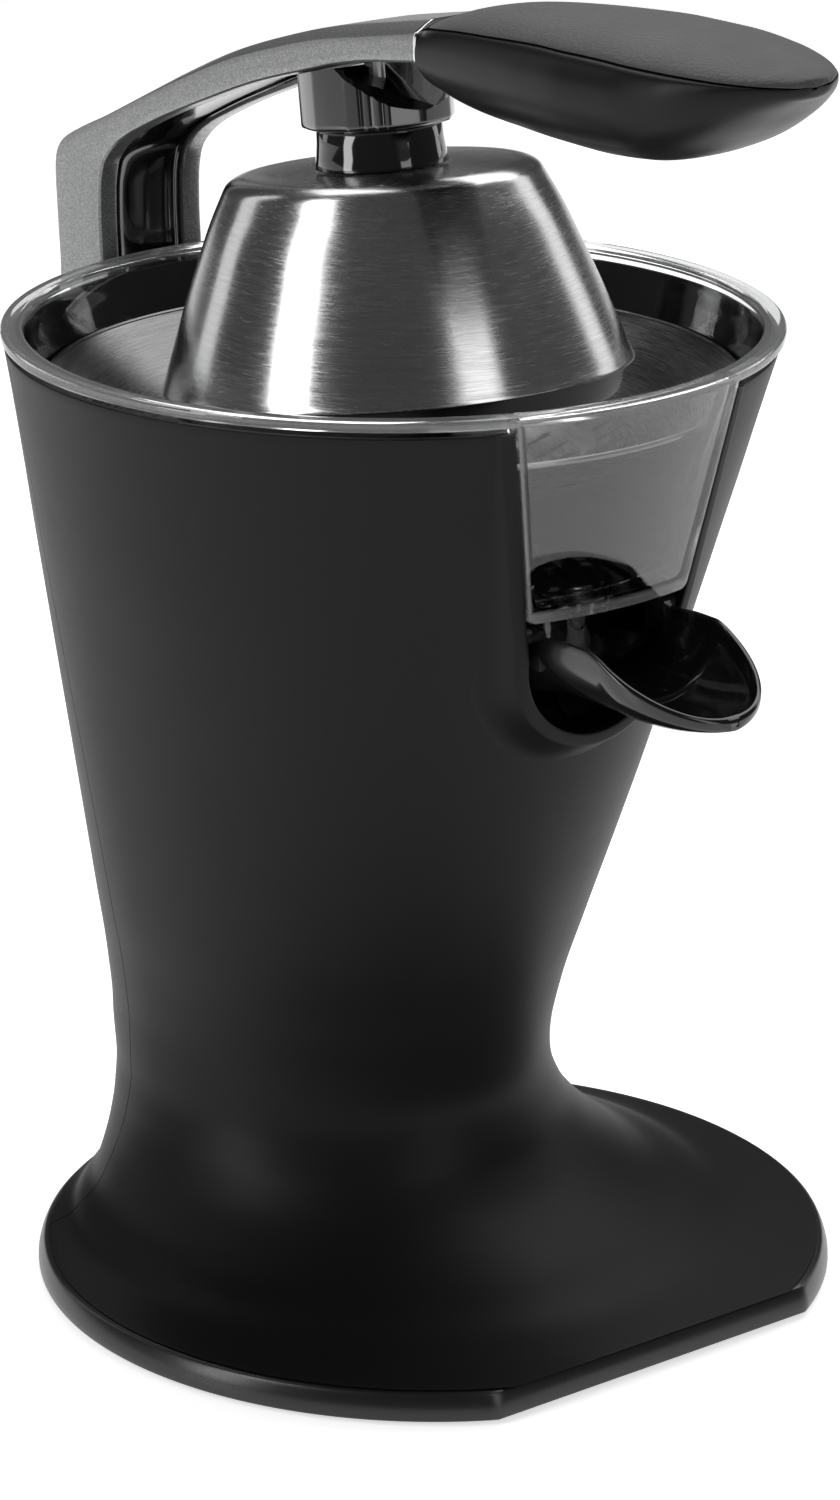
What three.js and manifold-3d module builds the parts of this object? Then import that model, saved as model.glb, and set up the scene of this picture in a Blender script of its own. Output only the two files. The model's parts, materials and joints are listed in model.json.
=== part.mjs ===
// Citrus press juicer: electric, lever operated. Millimetres, +Z up, the pouring side faces -Y.
// Geometry is written about the bowl axis (x = 0, y = 0, worktop at z = 0); the closing group
// moves it so that the origin is the middle of the footprint box on the worktop.
import * as THREE from "three";
import { mergeVertices } from "three/addons/utils/BufferGeometryUtils.js";
import Module from "manifold-3d";

const wasm = await Module();
wasm.setup();

// ---------------------------------------------------------------- driving dimensions
const Y_MID = -13.55;          // middle of the box from grip tip to arm heel, from the bowl axis
const RIM_R = 95;              // clear bowl rim, outside
const RIM_Z = 241;             // top of the rim
const RIM_LIP = 2.4;           // height of the rim's outer band
const SHELL_TOP = 236.9;       // top edge of the housings
const SHELL_BOTTOM = 8.3;
const SPLIT_Y = 42;            // parting plane between front and rear housing
const FOOT_FLAT_Y = -103.45;   // flat front of the foot
const FOOT_Y = -15.9;          // centre of the round foot
const SLOPE = 0.194;           // lean of the window and of the frame around the mouth
const PANEL_R = 98;            // plan radius of the window
const GAP = 0.3;
const HINGE = { y: 111, z: 215, r: 3 };
const SPOUT_PIVOT = { y: -77.5, z: 184, r: 1.8 };
const HOOD = { y: -1.9, z: 227.8, tilt: -7.1 };
const ARM_W = 16;              // half width of the arm
const MOTOR_Y = 36;            // motor axis behind the bowl axis
const IDLER = { x: 26.8, y: 22.51 };
const TEETH = { pinion: 8, wheel: 32, idlerPinion: 10, output: 40 };
const MODULE_1 = 1.5, MODULE_2 = 1.4;   // motor stage, spindle stage

// Body cross-sections: height, half width, y of the widest line, reach to the front, reach to the back.
const SECTIONS = [
  [1, 100.2, -15.9, 100.2, 100.2], [4.5, 100.0, -15.9, 100.0, 100.0], [8, 98.2, -15.9, 98.2, 98.2], [8.3, 98.0, -15.8, 98, 98], [9, 91.4, -9.5, 91.3, 91.4],
  [10, 84.5, -3, 84.5, 84.5], [12, 79.6, 1.6, 80.3, 79.7], [15, 72.2, 8.4, 73.9, 72.6],
  [20, 66.3, 14.2, 67.7, 67.1], [26, 61, 19.7, 64.6, 62.3], [34, 56.5, 24.8, 62.7, 58.1],
  [44, 53.9, 28.3, 62.8, 55.8], [56, 53.7, 30, 65.6, 55.4], [70, 55, 29.3, 69.2, 57.4],
  [90, 58.9, 27.1, 74.6, 61.2], [115, 64.1, 24, 81.4, 65.9], [140, 69.5, 20.7, 87.4, 70.6],
  [165, 75.5, 16.1, 90.9, 76.2], [188, 81.3, 10.8, 91.8, 82.6], [212, 87, 6.2, 94.1, 88],
  [236, 93.5, 1, 94.7, 93.8], [241, 95, 0, 95, 95],
];
const N = 36;

// ---------------------------------------------------------------- helpers
const V = (x, y, z) => new THREE.Vector3(x, y, z);

function solid(geometry) {
  let g = geometry.clone();
  for (const k of Object.keys(g.attributes)) if (k !== "position") g.deleteAttribute(k);
  g = mergeVertices(g, 1e-4);
  const p = g.attributes.position, idx = Array.from(g.index.array);
  let tri = [];
  for (let i = 0; i < idx.length; i += 3) {
    const [a, b, c] = [idx[i], idx[i + 1], idx[i + 2]];
    if (a !== b && b !== c && a !== c) tri.push(a, b, c);
  }
  let vol = 0;
  const A = V(), B = V(), C = V();
  for (let i = 0; i < tri.length; i += 3) {
    A.fromBufferAttribute(p, tri[i]); B.fromBufferAttribute(p, tri[i + 1]); C.fromBufferAttribute(p, tri[i + 2]);
    vol += A.dot(B.clone().cross(C)) / 6;
  }
  if (vol < 0) for (let i = 0; i < tri.length; i += 3) [tri[i + 1], tri[i + 2]] = [tri[i + 2], tri[i + 1]];
  return new wasm.Manifold(new wasm.Mesh({ numProp: 3, vertProperties: new Float32Array(p.array), triVerts: new Uint32Array(tri) }));
}
const join = (...s) => s.reduce((a, b) => a.add(b));
const cut = (a, ...s) => s.reduce((m, b) => m.subtract(b), a);

function loft(rings) {
  const n = rings[0].length, pos = [], idx = [];
  for (const r of rings) for (const p of r) pos.push(p.x, p.y, p.z);
  for (let k = 0; k < rings.length - 1; k++)
    for (let i = 0; i < n; i++) {
      const a = k * n + i, b = k * n + (i + 1) % n, c = a + n, d = b + n;
      idx.push(a, b, d, a, d, c);
    }
  for (const [k, flip] of [[0, true], [rings.length - 1, false]]) {
    const c = V(0, 0, 0);
    rings[k].forEach((p) => c.addScaledVector(p, 1 / n));
    const ci = pos.length / 3;
    pos.push(c.x, c.y, c.z);
    for (let i = 0; i < n; i++) {
      const a = k * n + i, b = k * n + (i + 1) % n;
      flip ? idx.push(ci, b, a) : idx.push(ci, a, b);
    }
  }
  const g = new THREE.BufferGeometry();
  g.setAttribute("position", new THREE.Float32BufferAttribute(pos, 3));
  g.setIndex(idx);
  return solid(g);
}
function cyl(r, z0, z1, x = 0, y = 0, seg = 20, rTop = r, turn = 0) {
  const g = new THREE.CylinderGeometry(rTop, r, z1 - z0, seg).rotateX(Math.PI / 2);
  if (turn) g.rotateZ(turn);
  return solid(g.translate(x, y, (z0 + z1) / 2));
}
const tube = (ri, ro, z0, z1, x = 0, y = 0, seg = 16) => cut(cyl(ro, z0, z1, x, y, seg), cyl(ri, z0 - 1, z1 + 1, x, y, seg));
const barX = (r, x0, x1, y, z, seg = 20) => solid(new THREE.CylinderGeometry(r, r, x1 - x0, seg).rotateZ(Math.PI / 2).translate((x0 + x1) / 2, y, z));
const barY = (r, y0, y1, x, z, seg = 20) => solid(new THREE.CylinderGeometry(r, r, y1 - y0, seg).translate(x, (y0 + y1) / 2, z));
const box = (x0, x1, y0, y1, z0, z1) => solid(new THREE.BoxGeometry(x1 - x0, y1 - y0, z1 - z0).translate((x0 + x1) / 2, (y0 + y1) / 2, (z0 + z1) / 2));
const lathe = (pts, seg = 32) => {
  const p = pts.map(([r, z]) => new THREE.Vector2(r, z));
  if (pts[0][0] > 1e-6) p.push(p[0].clone());
  return solid(new THREE.LatheGeometry(p, seg).rotateX(Math.PI / 2));
};
const shapeOf = (pts, holes = []) => {
  const s = new THREE.Shape(pts.map(([a, b]) => new THREE.Vector2(a, b)));
  for (const h of holes) s.holes.push(new THREE.Path(h.map(([a, b]) => new THREE.Vector2(a, b))));
  return s;
};
const extrude = (pts, depth, holes) => new THREE.ExtrudeGeometry(shapeOf(pts, holes), { depth, bevelEnabled: false, steps: 1 });
const prismZ = (pts, z0, z1, holes) => solid(extrude(pts, z1 - z0, holes).translate(0, 0, z0));
const prismX = (yz, x0, x1) => solid(extrude(yz, x1 - x0).applyMatrix4(new THREE.Matrix4().makeBasis(V(0, 1, 0), V(0, 0, 1), V(1, 0, 0))).translate(x0, 0, 0));
const prismY = (xz, y0, y1, holes) => solid(extrude(xz, y1 - y0, holes).applyMatrix4(new THREE.Matrix4().makeBasis(V(1, 0, 0), V(0, 0, 1), V(0, -1, 0))).translate(0, y1, 0));

const root = new THREE.Group();
function put(parent, name, man, color, roughness = 0.4, metalness = 0) {
  const m = man.getMesh();
  const g = new THREE.BufferGeometry();
  const n = m.vertProperties.length / m.numProp, pos = new Float32Array(n * 3);
  for (let i = 0; i < n; i++) for (let k = 0; k < 3; k++) pos[i * 3 + k] = m.vertProperties[i * m.numProp + k];
  g.setAttribute("position", new THREE.BufferAttribute(pos, 3));
  g.setIndex(Array.from(m.triVerts));
  g.computeVertexNormals();
  const mesh = new THREE.Mesh(g, new THREE.MeshStandardMaterial({ color, roughness, metalness }));
  mesh.name = name;
  parent.add(mesh);
  return mesh;
}

// ---------------------------------------------------------------- body sections
function section(z) {
  const zz = Math.min(Math.max(z, SECTIONS[0][0]), SECTIONS.at(-1)[0]);
  let i = 0;
  while (i < SECTIONS.length - 2 && SECTIONS[i + 1][0] < zz) i++;
  const [p, q] = [SECTIONS[i], SECTIONS[i + 1]], t = (zz - p[0]) / (q[0] - p[0]);
  return p.map((v, k) => v + (q[k] - v) * t);
}
function ring(z, off = 0, at = z, n = N) {
  const [, a, yw, bf, bb] = section(at), pts = [];
  for (let i = 0; i < n; i++) {
    const t = -Math.PI / 2 + (2 * Math.PI * i) / n, s = Math.sin(t);
    const y = yw + s * ((s < 0 ? bf : bb) - off);
    pts.push(V((a - off) * Math.cos(t), Math.max(y, FOOT_FLAT_Y + off), z));
  }
  return pts;
}
const outerBody = loft([SHELL_BOTTOM, 9, 10.5, 14, 22, 34, 60, 110, SHELL_TOP].map((z) => ring(z)));
const innerBody = loft([[6, 2.2], [12, 2.2], [22, 2.2], [34, 2.2], [60, 2.4], [110, 2.4], [225, 2.1], [242, 1.4]]
  .map(([z, o]) => ring(z, o, Math.min(z + 2.8, 241))));

// Leaning, slightly curved front plane shared by the window and the frame around the mouth.
function frontPlane(back, shift, z0, z1, half = 44) {
  const rings = [z0, z1].map((z) => {
    const pts = [V(-half, back, z)];
    for (let i = 0; i <= 8; i++) {
      const x = -half + (2 * half * i) / 8;
      pts.push(V(x, -RIM_R + SLOPE * (RIM_Z - z) + (x * x) / (2 * PANEL_R) + shift, z));
    }
    pts.push(V(half, back, z));
    return pts;
  });
  return loft(rings);
}
// Outline of the mouth: window above, rounded slot below.
function mouth(grow, top = 246, bottom = null) {
  const w = (z) => (z > 188.5 ? 24.1 + ((z - 188.5) * (33.9 - 24.1)) / (241 - 188.5) : 21.9 + ((z - 178.5) * 2.2) / 10) + grow;
  if (bottom !== null) return [[-w(bottom), bottom], [w(bottom), bottom], [w(top), top], [-w(top), top]];
  const pts = [[w(top), top], [-w(top), top], [-w(188.5), 188.5]];
  const r = 21.9 + grow;
  for (let i = 0; i <= 12; i++) {
    const t = Math.PI + (Math.PI * i) / 12;
    pts.push([r * Math.cos(t), 178.5 + r * Math.sin(t)]);
  }
  pts.push([w(188.5), 188.5]);
  return pts;
}

// ---------------------------------------------------------------- housings
const mouthFrame = frontPlane(-50, 0, 140, SHELL_TOP).intersect(prismY(mouth(3.4), -110, -50));
const bosses = [[48, -5], [-48, -5], [44, 55], [-44, 55]];
let shell = join(outerBody, mouthFrame);
const ledge = cut(loft([146.5, 149.7].map((z) => ring(z, 1))), loft([145, 151].map((z) => ring(z, 6.6, z + 2.8))));
shell = join(cut(shell, innerBody), ledge);
for (const [x, y] of bosses) shell = join(shell, cut(cyl(4.6, 4.3, 44, x, y, 12).intersect(outerBody.add(box(-60, 60, -20, 70, 4.3, 9))), cyl(1.9, 4, 25, x, y, 8)));
shell = cut(shell, prismY(mouth(0), -115, -58));
// sockets for the spout's side pins, blind in the thick frame of the mouth
shell = cut(shell, barX(2.15, -25.7, 25.7, SPOUT_PIVOT.y, SPOUT_PIVOT.z, 12));

let rearBack = shell.intersect(box(-130, 130, SPLIT_Y + 0.15, 140, 0, 260));
const cheekProfile = [[86, 172], [103, 178], [119.8, 206], [121.5, 213], [121.3, 217], [117, 224], [108, 226.5], [86, 226.5]];
let bracket = join(prismX(cheekProfile, 16.6, 23.6), prismX(cheekProfile, -23.6, -16.6),
  prismX([[86, 160], [98, 163], [112.5, 188], [112.5, 200], [98, 203], [86, 203]], -23.6, 23.6));
bracket = cut(bracket, innerBody, barX(HINGE.r + 0.35, -30, 30, HINGE.y, HINGE.z, 20));
rearBack = join(rearBack, bracket);
rearBack = cut(rearBack, barY(6.5, 70, 95, 0, 26, 16));
// intake grille low on the back
for (let i = -2; i <= 2; i++) if (i) rearBack = cut(rearBack, box(i * 11 - 2 + (i > 0 ? 3 : -3), i * 11 + 2 + (i > 0 ? 3 : -3), 60, 100, 52, 84));
const frontHousing = shell.intersect(box(-130, 130, -140, SPLIT_Y - 0.15, 0, 260));
put(root, "front_housing", frontHousing, 0x29292b, 0.33);
put(root, "rear_housing", rearBack, 0x2b2b2d, 0.36);

// ---------------------------------------------------------------- foot
let base = cut(loft([1, 1.8, 6.8, 8].map((z) => ring(z, z < 1.5 ? 1.0 : 0))), loft([4, 9].map((z) => ring(z, 3.6, 5))));
const feet = { foot_front_left: [-56, -72], foot_front_right: [56, -72], foot_rear_left: [-60, 42], foot_rear_right: [60, 42] };
for (const [x, y] of Object.values(feet)) base = cut(base, cyl(9.5, 0, 2.3, x, y, 16));
for (const [x, y] of bosses) base = cut(base, cyl(1.9, 0, 5, x, y, 8), cyl(3.9, 0, 2.9, x, y, 12));
for (let i = -2; i <= 2; i++) base = cut(base, box(i * 9 - 1.8, i * 9 + 1.8, 10, 44, 0, 5));
put(root, "base_plate", base, 0x242425, 0.5);
for (const [n, [x, y]] of Object.entries(feet)) put(root, n, cyl(8.6, 0, 2.0, x, y, 16, 9.0), 0x202020, 0.85);
bosses.forEach(([x, y], i) => put(root, `base_screw_${i + 1}`, join(cyl(3.4, 1.3, 2.6, x, y, 12), cyl(1.5, 2.2, 22, x, y, 8)), 0x9a9c9e, 0.35, 1));

// ---------------------------------------------------------------- inner deck under the bowl
const DECK = [[33, -26], [-33, -26], [12, 58], [-30, 56]];
let deck = loft([150, 153].map((z) => ring(z, 3.6, 150)));
deck = join(deck, cyl(13.2, 151, 196), ...DECK.map(([x, y]) => cyl(3.5, 145.3, 151, x, y, 16)));
for (const a of [-58, -30, 0, 30, 58]) {
  const t = (a * Math.PI) / 180;
  const rib = new THREE.BoxGeometry(1.4, 30, 3).translate(0, 15, 154.4).rotateZ(-t).translate(0, -70, 0);
  deck = join(deck, solid(rib).intersect(loft([152, 157].map((z) => ring(z, 4.0, 150)))));
}
deck = cut(deck, cyl(9.5, 140, 200));
put(root, "inner_deck", deck, 0x1f1f20, 0.5);
put(root, "spindle_bush", tube(5.0, 9.2, 182, 194), 0x8f7a4a, 0.45, 1);

// ---------------------------------------------------------------- clear bowl with its window and outlet
const bowlProfile = [
  [91.3, 238.6], [87.3, 225], [78.8, 200], [75.5, 191], [70, 185], [64, 184], [13.6, 188.5],
  [13.6, 203], [15.8, 203], [15.8, 191.2], [63.5, 186.4], [68.5, 187.4], [73.3, 192.3], [76.7, 200.6], [85.3, 225.6],
  [89.7, RIM_Z], [94.4, RIM_Z], [RIM_R, RIM_Z - 0.7], [RIM_R, RIM_Z - RIM_LIP]];
const bowlInside = lathe([[0, 186], [63.5, 186.4], [68.5, 187.4], [73.3, 192.3], [76.7, 200.6], [85.3, 225.6], [89.2, 239.2], [0, 239.2]]);
const windowBox = frontPlane(-60, 0, 188.5, RIM_Z - 0.6).intersect(prismY(mouth(-0.35, RIM_Z - 0.6, 188.5), -110, -60));
const windowVoid = frontPlane(-60, 2.8, 192, RIM_Z - RIM_LIP).intersect(prismY(mouth(-3.4, RIM_Z - RIM_LIP, 192), -110, -60));
let bowl = cut(join(lathe(bowlProfile), cut(windowBox, bowlInside)), windowVoid);
bowl = cut(join(bowl, cyl(10.4, 173, 188, 0, -65)), cyl(8.4, 170, 190.5, 0, -65));
put(root, "juice_bowl", bowl, 0xd8dde0, 0.06);

// ---------------------------------------------------------------- strainer
let strainer = lathe([[17.2, 199.1], [36, 201.1], [50, 206.5], [68, 215.3], [83, 224.6], [84.9, 225.3], [84.9, 227.4],
  [84.0, 227.4], [82.5, 225.7], [68, 216.4], [50, 207.5], [36, 202.1], [17.2, 200.1]]);
for (let i = 0; i < 16; i++)
  for (const [r0, r1, turn] of [[24, 34, 0.25]]) {
    const g = new THREE.BoxGeometry(r1 - r0, 1.8, 30).translate((r0 + r1) / 2, 0, 205).rotateZ(((i + turn) / 16) * 2 * Math.PI);
    strainer = cut(strainer, solid(g));
  }
put(root, "strainer", strainer, 0xb9bbbd, 0.3, 1);

// ---------------------------------------------------------------- gearbox
const plateOutline = [[-40, -34], [40, -34], [54, 0], [54, 46], [36, 64], [-36, 64], [-44, 46], [-44, -10]];
const BOLTS = [[-27, 12], [27, 60]];
let plate = prismZ(plateOutline, 112, 115);
plate = cut(plate, cyl(6.5, 110, 117), cyl(5.8, 110, 117, 0, MOTOR_Y), cyl(2.85, 110, 117, IDLER.x, IDLER.y, 16), ...BOLTS.map(([x, y]) => cyl(2.3, 110, 117, x, y, 12)));
put(root, "gearbox_plate", plate, 0x8d9093, 0.45, 1);
let cover = join(prismZ(plateOutline, 142, 145), ...DECK.map(([x, y]) => cyl(3.5, 115.3, 143, x, y, 16)));
cover = cut(cover, cyl(5.4, 140, 147), cyl(2.85, 140, 147, IDLER.x, IDLER.y, 16));
put(root, "gearbox_cover", cover, 0x3a3b3d, 0.55);
put(root, "idler_pin", cyl(2.5, 112.2, 144.8, IDLER.x, IDLER.y, 16), 0xb0b2b4, 0.25, 1);
put(root, "motor_bush_upper", tube(2.85, 5.5, 110.6, 115, 0, MOTOR_Y), 0x8f7a4a, 0.45, 1);

// spur gear outline about its own centre, tooth 0 at angle `phase`
function gearOutline(m, teeth, phase) {
  const rp = (m * teeth) / 2, ra = rp + 0.75 * m, rf = rp - 1.05 * m, p = (2 * Math.PI) / teeth, pts = [];
  for (let i = 0; i < teeth; i++) {
    const c = phase + i * p;
    for (const [r, k] of [[rf, -0.33], [ra, -0.13], [ra, 0.13], [rf, 0.33]]) pts.push([r * Math.cos(c + k * p), r * Math.sin(c + k * p)]);
  }
  return pts;
}
const gear = (m, teeth, phase, z0, z1, x, y) => solid(extrude(gearOutline(m, teeth, phase), z1 - z0).translate(x, y, z0));
// phases put a tooth of one gear in a gap of the next along their line of centres
const dirA = Math.atan2(IDLER.y - MOTOR_Y, IDLER.x), dirB = Math.atan2(-IDLER.y, -IDLER.x);
const mesh = (dir, phaseA, nA, nB) => dir + Math.PI - ((0.5 - ((dir - phaseA) * nA) / (2 * Math.PI)) * 2 * Math.PI) / nB;
const phWheel = mesh(dirA, 0, TEETH.pinion, TEETH.wheel);
const phOut = mesh(dirB, 0, TEETH.idlerPinion, TEETH.output);
const idler = cut(join(gear(MODULE_1, TEETH.wheel, phWheel, 121, 128, IDLER.x, IDLER.y), gear(MODULE_2, TEETH.idlerPinion, 0, 128, 140.5, IDLER.x, IDLER.y), cyl(6, 115.4, 121, IDLER.x, IDLER.y, 20)), cyl(2.85, 110, 150, IDLER.x, IDLER.y, 16));
put(root, "idler_gear", idler, 0xd9d5c8, 0.5);
const output = cut(join(gear(MODULE_2, TEETH.output, phOut, 131.5, 139.5, 0, 0), cyl(8, 115.4, 132, 0, 0, 20)), cyl(4.95, 110, 150, 0, 0, 6));
put(root, "output_gear", output, 0xd9d5c8, 0.5);

// ---------------------------------------------------------------- press spindle
let shaft = join(cyl(4.5, 107, 225, 0, 0, 6), cyl(4.6, 174.6, 198, 0, 0, 20), cyl(8.6, 174.4, 177.2, 0, 0, 24));
put(root, "drive_shaft", shaft, 0xb7b9bb, 0.25, 1);
const reamerRings = [[206.2, 33, 0], [208.4, 33, 0], [210, 29.8, 0.1], [219, 26.8, 0.18], [233, 21.2, 0.22], [245, 14.3, 0.2], [254, 7, 0.12], [258.2, 1.2, 0]];
let reamer = loft(reamerRings.map(([z, r, amp]) => {
  const pts = [];
  for (let i = 0; i < 40; i++) {
    const t = (2 * Math.PI * i) / 40, k = 1 + amp * (Math.pow(Math.abs(Math.cos(5 * t)), 1.4) - 0.62);
    pts.push(V(r * k * Math.cos(t), r * k * Math.sin(t), z));
  }
  return pts;
}));
reamer = cut(reamer, cyl(4.95, 200, 225.4, 0, 0, 6));
put(root, "reamer_cone", reamer, 0x2a2a2c, 0.3);
put(root, "thrust_collar", tube(5.05, 8.9, 170.6, 174.1), 0x55585b, 0.5);
class Helix extends THREE.Curve {
  getPoint(t, out = new THREE.Vector3()) {
    const a = t * 4 * 2 * Math.PI;
    return out.set(7.1 * Math.cos(a), 7.1 * Math.sin(a), 146.4 + t * 23.1);
  }
}
const wire = Array.from({ length: 5 }, (_, i) => [0.75 * Math.cos((i * Math.PI) / 2.5), 0.75 * Math.sin((i * Math.PI) / 2.5)]);
put(root, "return_spring", solid(new THREE.ExtrudeGeometry(shapeOf(wire), { steps: 44, bevelEnabled: false, extrudePath: new Helix() })), 0xa9abad, 0.3, 1);

// ---------------------------------------------------------------- switch under the spindle
let sw = join(box(-10, 10, -14, 5.2, 85, 98.6), box(-10, -6.5, -14, -11, 98, 111.7), box(6.5, 10, -14, -11, 98, 111.7));
sw = cut(sw, cyl(2.35, 91, 100, 0, 0, 16));
put(root, "micro_switch", sw, 0x3a2f2a, 0.5);
put(root, "switch_plunger", cyl(2, 94.6, 106.7, 0, 0, 16), 0xc8452e, 0.5);

// ---------------------------------------------------------------- motor
const my = MOTOR_Y;
let stack = prismZ([[-26, my - 30], [26, my - 30], [32, my - 24], [32, my + 24], [26, my + 30], [-26, my + 30], [-32, my + 24], [-32, my - 24]], 62, 96);
stack = cut(stack, cyl(17, 60, 98, 0, my, 32), ...BOLTS.map(([x, y]) => cyl(2.3, 60, 98, x, y, 12)));
for (const sx of [-1, 1]) for (const sy of [-1, 1]) stack = cut(stack, box(sx * 15.5 - 3, sx * 15.5 + 3, my + sy * 21.5 - 3, my + sy * 21.5 + 3, 60, 98));
put(root, "field_core", stack, 0x6f7275, 0.5, 1);
const coilShape = [[[-18.2, 56.2], [18.2, 56.2], [18.2, 101.8], [-18.2, 101.8]], [[[-12.8, 61.6], [12.8, 61.6], [12.8, 96.4], [-12.8, 96.4]]]];
put(root, "field_coil_front", prismY(coilShape[0], my - 24.2, my - 18.8, coilShape[1]), 0xa8582a, 0.4, 1);
put(root, "field_coil_rear", prismY(coilShape[0], my + 18.8, my + 24.2, coilShape[1]), 0xa8582a, 0.4, 1);
const mb = cut(box(-31, 31, my - 28, my + 28, 44, 46.5), cyl(5.8, 40, 50, 0, my), ...BOLTS.map(([x, y]) => cyl(2.3, 40, 50, x, y, 12)));
put(root, "motor_bracket", mb, 0x909396, 0.4, 1);
put(root, "motor_bush_lower", tube(2.85, 5.5, 42.8, 48, 0, my), 0x8f7a4a, 0.45, 1);
BOLTS.forEach(([x, y], i) => put(root, `motor_bolt_${i + 1}`, join(cyl(3.6, 41, 43.7, x, y, 6), cyl(1.95, 43, 118, x, y, 12)), 0x9a9c9e, 0.35, 1));
put(root, "brush_holder_front", box(-3.6, 3.6, my - 21, my - 8.7, 46.8, 56), 0x7d5a2c, 0.5);
put(root, "brush_holder_rear", box(-3.6, 3.6, my + 8.7, my + 21, 46.8, 56), 0x7d5a2c, 0.5);
put(root, "armature_shaft", cyl(2.5, 41.5, 131.5, 0, my, 16), 0xb7b9bb, 0.25, 1);
put(root, "armature_winding", tube(2.85, 12, 58.5, 101, 0, my), 0xa8582a, 0.4, 1);
put(root, "armature_core", tube(12.3, 15.6, 62, 96, 0, my, 32), 0x6f7275, 0.5, 1);
put(root, "commutator", tube(2.85, 8.2, 49.5, 57, 0, my), 0xb06a35, 0.3, 1);
let fan = join(cyl(6.5, 103.5, 109.6, 0, my, 24), cyl(24, 103.5, 104.7, 0, my, 32));
for (let i = 0; i < 9; i++) fan = join(fan, solid(new THREE.BoxGeometry(17, 1.4, 5.4).translate(14.2, 0, 106.9).rotateZ((i * 2 * Math.PI) / 9).translate(0, my, 0)));
put(root, "cooling_fan", cut(fan, cyl(2.85, 100, 112, 0, my, 16)), 0x303133, 0.5);
put(root, "motor_pinion", cut(gear(MODULE_1, TEETH.pinion, 0, 119.5, 129.5, 0, my), cyl(2.85, 118, 131, 0, my, 16)), 0xb08d4a, 0.35, 1);

// ---------------------------------------------------------------- hinge pin and cord inlet
put(root, "hinge_pin", barX(HINGE.r, -23.3, 23.3, HINGE.y, HINGE.z), 0xb0b2b4, 0.25, 1);
const grommet = cut(join(barY(6.0, 76.5, 84, 0, 26, 16), barY(8.2, 83.4, 85.4, 0, 26, 16)), barY(3.6, 70, 90, 0, 26, 12));
put(root, "cord_grommet", grommet, 0x1b1b1b, 0.7);

// ---------------------------------------------------------------- spout
// Trough: rounded section, walls level to the bend and then falling to a rounded lip.
const spoutRim = (y) => (y > -72 ? 176 : y > -76 ? 176 + (-72 - y) : y > -80 ? 180 + ((-76 - y) / 4) * 4 : y > -98 ? 184 + ((-80 - y) / 18) * 1.8 : 185.8 - (-98 - y) * 0.47);
const tipX = (y, w) => (y > -76 ? w - 0.45 * Math.min(y + 76, 10) : y > -103 ? w : w * Math.sqrt(Math.max(0, 1 - Math.pow((-103 - y) / 24.6, 2))));
function trough(w, drop, yBack, rise, tip) {
  const ys = [yBack, -66, -71.9, -76, -80, -90, -98, -103, -109, -115, -120, -124, -126.4, -127.3 ].filter((y) => y <= yBack && y > tip).concat([tip]);
  return loft(ys.map((y) => {
    const hw = Math.max(tipX(y, w), 1.2), top = spoutRim(y) + rise, bot = 167.4 + drop + (y < -103 ? Math.pow((-103 - y) / 24.6, 2) * 2.6 : 0);
    const r = Math.min(10, hw * 0.8, (top - bot) * 0.75), front = y < -75;
    const rx = front ? Math.max(hw - 2, hw * 0.7) : r, rz = front ? Math.min(14, (top - bot) * 0.85) : r, pts = [];
    pts.push(V(-hw, y, top));
    for (let i = 0; i <= 6; i++) { const t = Math.PI + (Math.PI / 2) * (i / 6); pts.push(V(-hw + rx + rx * Math.cos(t), y, bot + rz + rz * Math.sin(t))); }
    for (let i = 0; i <= 6; i++) { const t = 1.5 * Math.PI + (Math.PI / 2) * (i / 6); pts.push(V(hw - rx + rx * Math.cos(t), y, bot + rz + rz * Math.sin(t))); }
    pts.push(V(hw, y, top));
    return pts;
  }));
}
let spout = cut(trough(20, 0, -50, 0, -127.5), trough(17.6, 2.2, -52.6, 3, -125.2));
spout = join(spout, barX(SPOUT_PIVOT.r, 18, 25.3, SPOUT_PIVOT.y, SPOUT_PIVOT.z, 12), barX(SPOUT_PIVOT.r, -25.3, -18, SPOUT_PIVOT.y, SPOUT_PIVOT.z, 12),
  prismX([[-74, 177], [-81, 177], [-81, 186], [-74.6, 186.2]], 17.8, 20), prismX([[-74, 177], [-81, 177], [-81, 186], [-74.6, 186.2]], -20, -17.8));
put(root, "spout", spout, 0x1c1c1e, 0.15);

// ---------------------------------------------------------------- lever arm
const armTop = [[120, 232.7], [120.8, 241.8], [121.9, 260.5], [121.2, 263.5], [118.6, 266.7], [115.5, 268.6], [100.2, 275.4], [79.5, 285], [65.5, 291.3], [45.1, 299.6], [28.6, 304.9], [7.1, 310.7], [-7.6, 313.5], [-28.6, 317.5]];
const armLow = [[-28.6, 310], [-7.6, 306.8], [12.5, 301.6], [34.2, 295.2], [56.6, 286.8], [73.8, 279.9], [87.9, 273.4], [95.2, 268.7], [100.1, 263], [101.5, 257.2], [101.6, 246.8], [101, 239.3]];
const knuckle = Array.from({ length: 13 }, (_, i) => { const t = Math.PI + (Math.PI * i) / 12; return [HINGE.y + 10 * Math.cos(t), HINGE.z + 10 * Math.sin(t)]; });
let arm = prismX([...armTop, ...armLow, ...knuckle], -ARM_W, ARM_W);
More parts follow.
